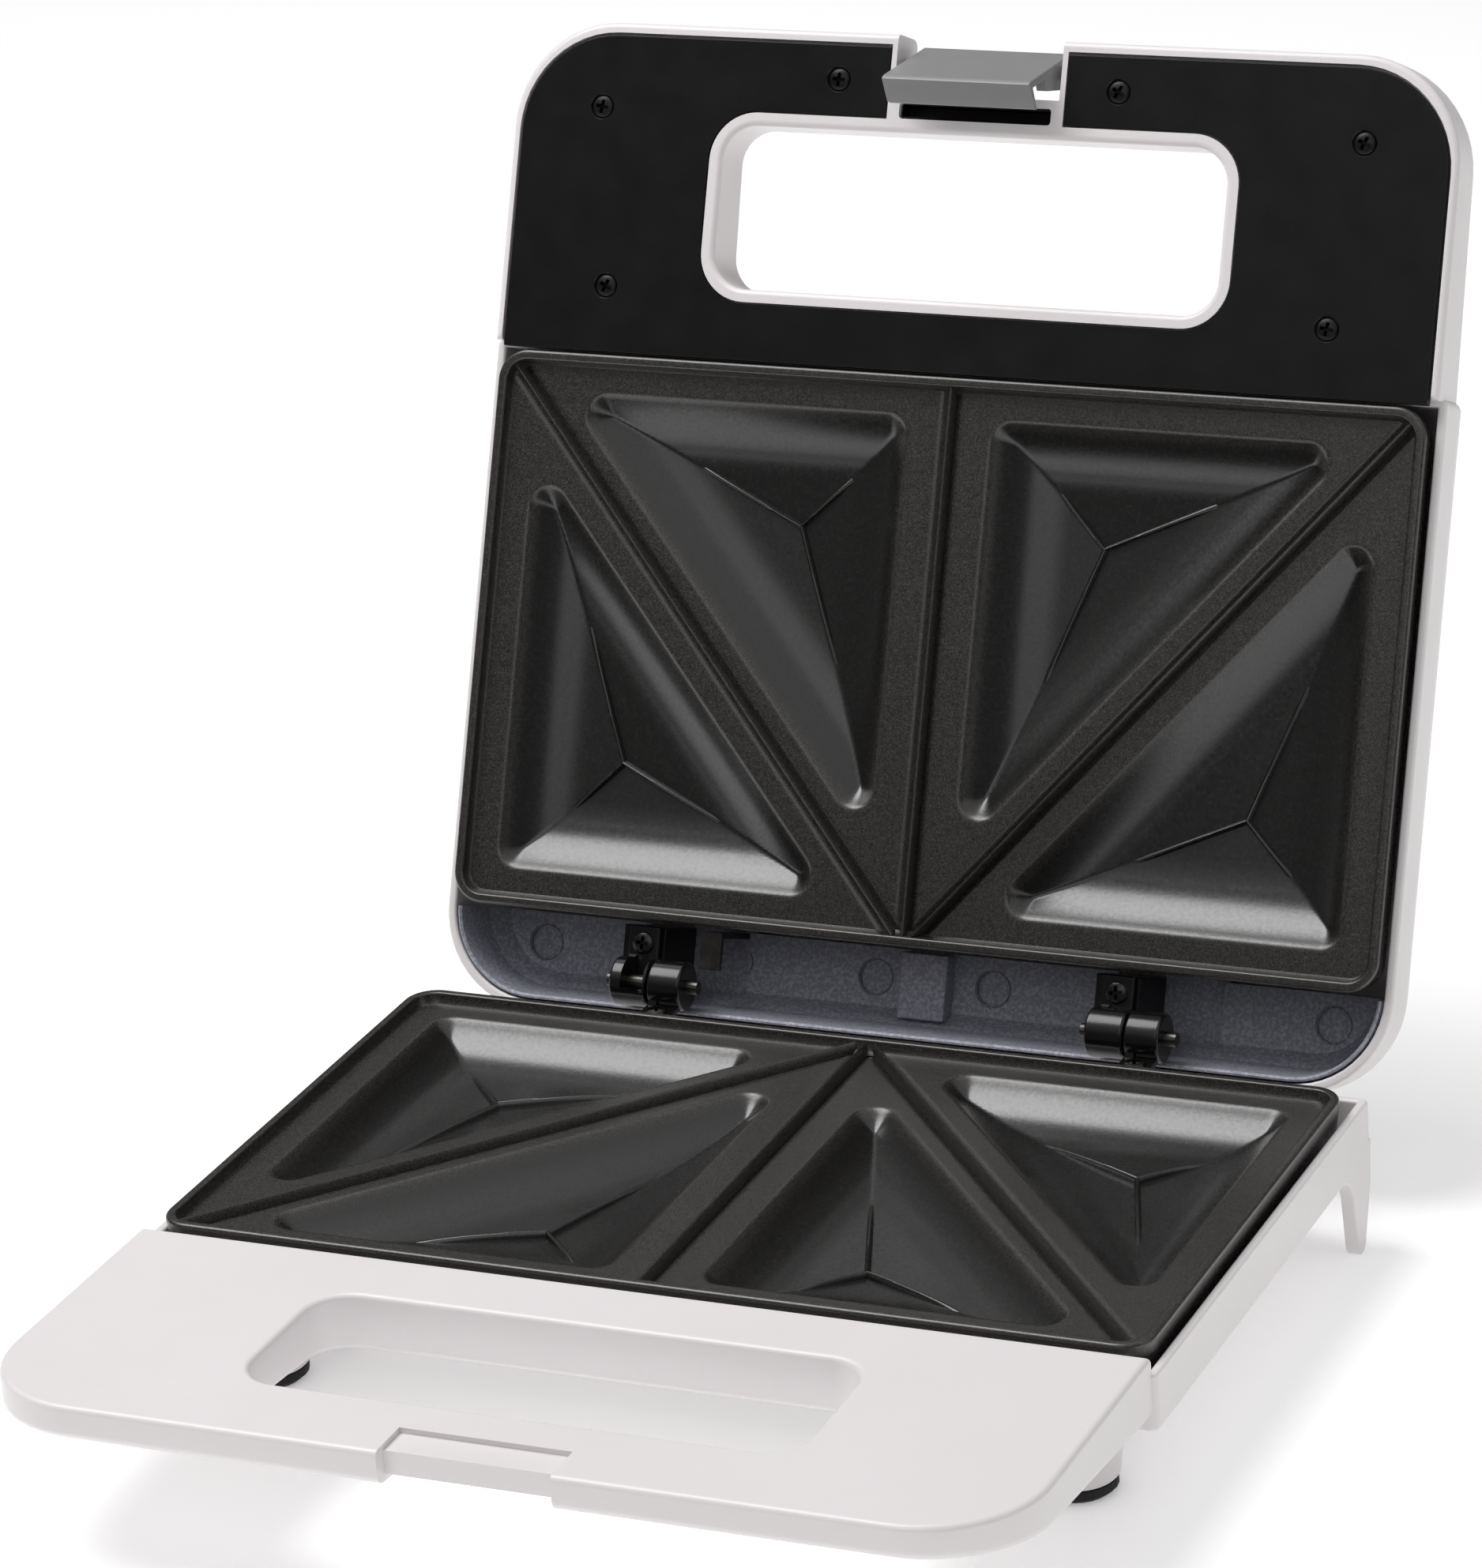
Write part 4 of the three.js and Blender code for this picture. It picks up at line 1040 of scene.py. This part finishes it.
def barrel(x0, x1):
    """Knuckle with rounded ends."""
    edge = 0.7
    r = KNUCKLE_RADIUS
    profile = [(0, x0), (r - edge, x0)] + [(r - i, x0 + d) for i, d in reversed(quarter(edge))]
    profile += [(r - i, x1 - d) for i, d in quarter(edge)] + [(0, x1)]
    return turned(profile, (0, 0, HINGE_HEIGHT), "X")


def hinge_leaf(name, side, centre, span, seat, outward):
    """A leaf with its knuckle, and the screw that holds it; the left lid leaf's knuckle is cut away."""
    x0, x1 = centre + span[0], centre + span[1]
    near = seat + outward * GAP
    far = near + outward * LEAF_THICK
    leaf = link(name, barrel(x0, x1))
    if name == "left_lid_leaf":
        cut(leaf, block(x0 + 2.8, x1 - 0.6, -7, 2.2, -6, 8))
    fuse(leaf, soft_block(x0, x0 + LEAF_WIDTH, LEAF_FRONT, LEAF_REAR, near, far, 0.4))
    cheek = [(-6.5, near), (-3.0, near), (0, HINGE_HEIGHT), (-4.0, HINGE_HEIGHT + outward * 1.0)]
    fuse(leaf, push_along_x(cheek, x0 + CHEEK[0], x0 + CHEEK[1]))
    screw_x = x0 + LEAF_WIDTH / 2
    well = cylinder(SCREW_WELL, near - outward, far + outward)
    cut(leaf, turned(well, (screw_x, LEAF_SCREW_Y, 0)))
    finish_piece(leaf, side, "hinge_black")
    node = f"hinge_{name}"
    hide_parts(node)
    head = screw_head(screw_x, LEAF_SCREW_Y, far, outward)
    head.name = f"{name}_screw_head"
    finish_piece(head, side, "hinge_black")
    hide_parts(node.replace("_leaf", "_screw"))


def hinges():
    for centre, name in zip(HINGE_CENTRES, ("left", "right")):
        hinge_leaf(f"{name}_lid_leaf", LID, centre, LID_KNUCKLE, LID.z(LID_SEAT), outward=-1)
        hinge_leaf(f"{name}_base_leaf", BASE, centre, BASE_KNUCKLE, BASE.z(WALL_TOP), outward=1)


# ------------------------------------------------------------------ clip
CLIP_HALF = 17.3                      # the clip is drawn as (y, z) profiles, pushed along X
PIVOT_Y, PIVOT_Z = -206.9, 8.3
CLIP_BACK, CLIP_TIP, CLIP_THICK = (-211.9, 12.2), (-202.3, -12.0), 1.8
HOOK_END, HOOK_REACH, HOOK_ANGLE = (-197.3, -7.1), 16.8, 35
HOOK_ROOT = 2.4                       # where the hook's back meets the plate, from the tip
EAR_THICK, EAR_LENGTH, EAR_END = 2.4, 17.0, (-201.9, -0.7)
PIVOT_BOSS = 3.6


def clip():
    """Latch clip: a plate whose tip turns in to a hook, and an ear round the pin at each end."""
    back, tip = np.array(CLIP_BACK), np.array(CLIP_TIP)
    length = np.linalg.norm(tip - back)
    along = (tip - back) / length
    inward = np.array((-along[1], along[0]))
    swing = math.radians(HOOK_ANGLE)
    holding = np.array((PIVOT_Y + HOOK_REACH * math.sin(swing), PIVOT_Z - HOOK_REACH * math.cos(swing)))
    hook_end = np.array(HOOK_END)
    hook = (hook_end - tip) / np.linalg.norm(hook_end - tip)
    nose = [tip - along * 1.6, tip - along * 0.7 + inward * 0.15, tip + hook * 0.6, tip + hook * 1.6]
    under = inward * CLIP_THICK
    profile = [back + along * 0.8, *nose, hook_end, holding,
               back + along * (length - HOOK_ROOT) + under, back + under, back + under * 0.5]
    obj = link("clip_plate", push_along_x([tuple(p) for p in profile], -CLIP_HALF, CLIP_HALF, 0.35))
    for way in (-1, 1):
        ear = [tuple(back + along + inward), tuple(back + along * EAR_LENGTH + inward), EAR_END]
        ear += [
            (PIVOT_Y + PIVOT_BOSS * math.cos(a), PIVOT_Z + PIVOT_BOSS * math.sin(a))
            for a in (math.radians(d) for d in range(0, 109, 18))
        ]
        x0, x1 = sorted((way * CLIP_HALF, way * (CLIP_HALF - EAR_THICK)))
        fuse(obj, push_along_x(ear, x0, x1))
    finish_piece(obj, LID, "clip_grey", smooth_angle=50, body="clip")
    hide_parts("latch_clip")


# ------------------------------------------------------------------ stage
CAMERA_AZIMUTH, CAMERA_ELEVATION, CAMERA_ROLL = 24.9, 21.46, -4.26
CAMERA_DISTANCE = 1.290               # metres, to where its axis crosses the toaster's middle plane
CAMERA_AIM = Vector((0.0003, -0.0704, 0.0814))     # from the hinge line
CAMERA_LENS, CAMERA_FRAME = 144.8, 36               # millimetres
FLOOR_HALF = 4.0                      # metres
FLOOR_GLOW = 0.3                      # keeps the floor near white, as in a light tent
SKY_RANGE, SKY_STRENGTH = (0.28, 0.98), (0.09, 0.66)   # sine of the elevation, and how bright it is there
LIGHTS = (                            # name, place, aim, diameter, watts
    ("overhead", (-0.60, -0.05, 1.40), (0, 0, 0.05), 1.05, 16.2),
    ("front", (0.2, -1.6, 1.2), (0, 0, 0.08), 1.2, 2.5),
    ("right", (1.5, 0.1, 0.7), (0, 0, 0.08), 1.3, 2.2),
)


def camera():
    azimuth, elevation, roll = (math.radians(a) for a in (CAMERA_AZIMUTH, CAMERA_ELEVATION, CAMERA_ROLL))
    ahead = Vector((-math.sin(azimuth), math.cos(azimuth), 0))
    forward = ahead * math.cos(elevation) - Vector((0, 0, math.sin(elevation)))
    level = Vector((math.cos(azimuth), math.sin(azimuth), 0))
    upright = level.cross(forward)
    right = level * math.cos(roll) + upright * math.sin(roll)
    up = upright * math.cos(roll) - level * math.sin(roll)
    data = bpy.data.cameras.new("camera")
    data.lens, data.sensor_width = CAMERA_LENS, CAMERA_FRAME
    obj = bpy.data.objects.new("camera", data)
    rotation = Matrix((right, up, -forward)).transposed()
    place = ORIGIN + CAMERA_AIM - forward * CAMERA_DISTANCE
    obj.matrix_world = Matrix.Translation(place) @ rotation.to_4x4()
    bpy.context.scene.collection.objects.link(obj)
    bpy.context.scene.camera = obj


def area_light(name, place, aim, size, power):
    data = bpy.data.lights.new(name, "AREA")
    data.shape, data.size, data.energy = "DISK", size, power
    obj = bpy.data.objects.new(name, data)
    obj.location = place
    obj.rotation_euler = (Vector(aim) - Vector(place)).to_track_quat("-Z", "Y").to_euler()
    bpy.context.scene.collection.objects.link(obj)


def stage():
    """Pale floor, three soft lights and a sky that is bright only overhead."""
    bpy.context.scene.view_settings.view_transform = "Standard"
    bm = bmesh.new()
    bmesh.ops.create_grid(bm, x_segments=1, y_segments=1, size=FLOOR_HALF)
    floor = link("floor", bm)
    material, shader = new_material("floor_pale", (0.90, 0.90, 0.90), 0.9)
    shader.inputs["Emission Color"].default_value = (1, 1, 1, 1)
    shader.inputs["Emission Strength"].default_value = FLOOR_GLOW
    floor.data.materials.append(material)
    world = bpy.data.worlds.new("studio")
    world.use_nodes = True
    tree = world.node_tree
    background = tree.nodes["Background"]
    background.inputs["Color"].default_value = (1, 1, 1, 1)
    height = tree.nodes.new("ShaderNodeSeparateXYZ")
    tree.links.new(tree.nodes.new("ShaderNodeTexCoord").outputs["Generated"], height.inputs["Vector"])
    glow = tree.nodes.new("ShaderNodeMapRange")
    glow.interpolation_type = "SMOOTHSTEP"
    for name, value in zip(("From Min", "From Max", "To Min", "To Max"), SKY_RANGE + SKY_STRENGTH):
        glow.inputs[name].default_value = value
    tree.links.new(height.outputs["Z"], glow.inputs["Value"])
    tree.links.new(glow.outputs["Result"], background.inputs["Strength"])
    bpy.context.scene.world = world
    for light in LIGHTS:
        area_light(*light)


camera()
stage()
paint_frame()
lower_housing()
upper_housing()
handle_panel()
screws()
plate(BASE, "lower_plate")
plate(LID, "upper_plate")
inner_cover()
hinges()
clip()
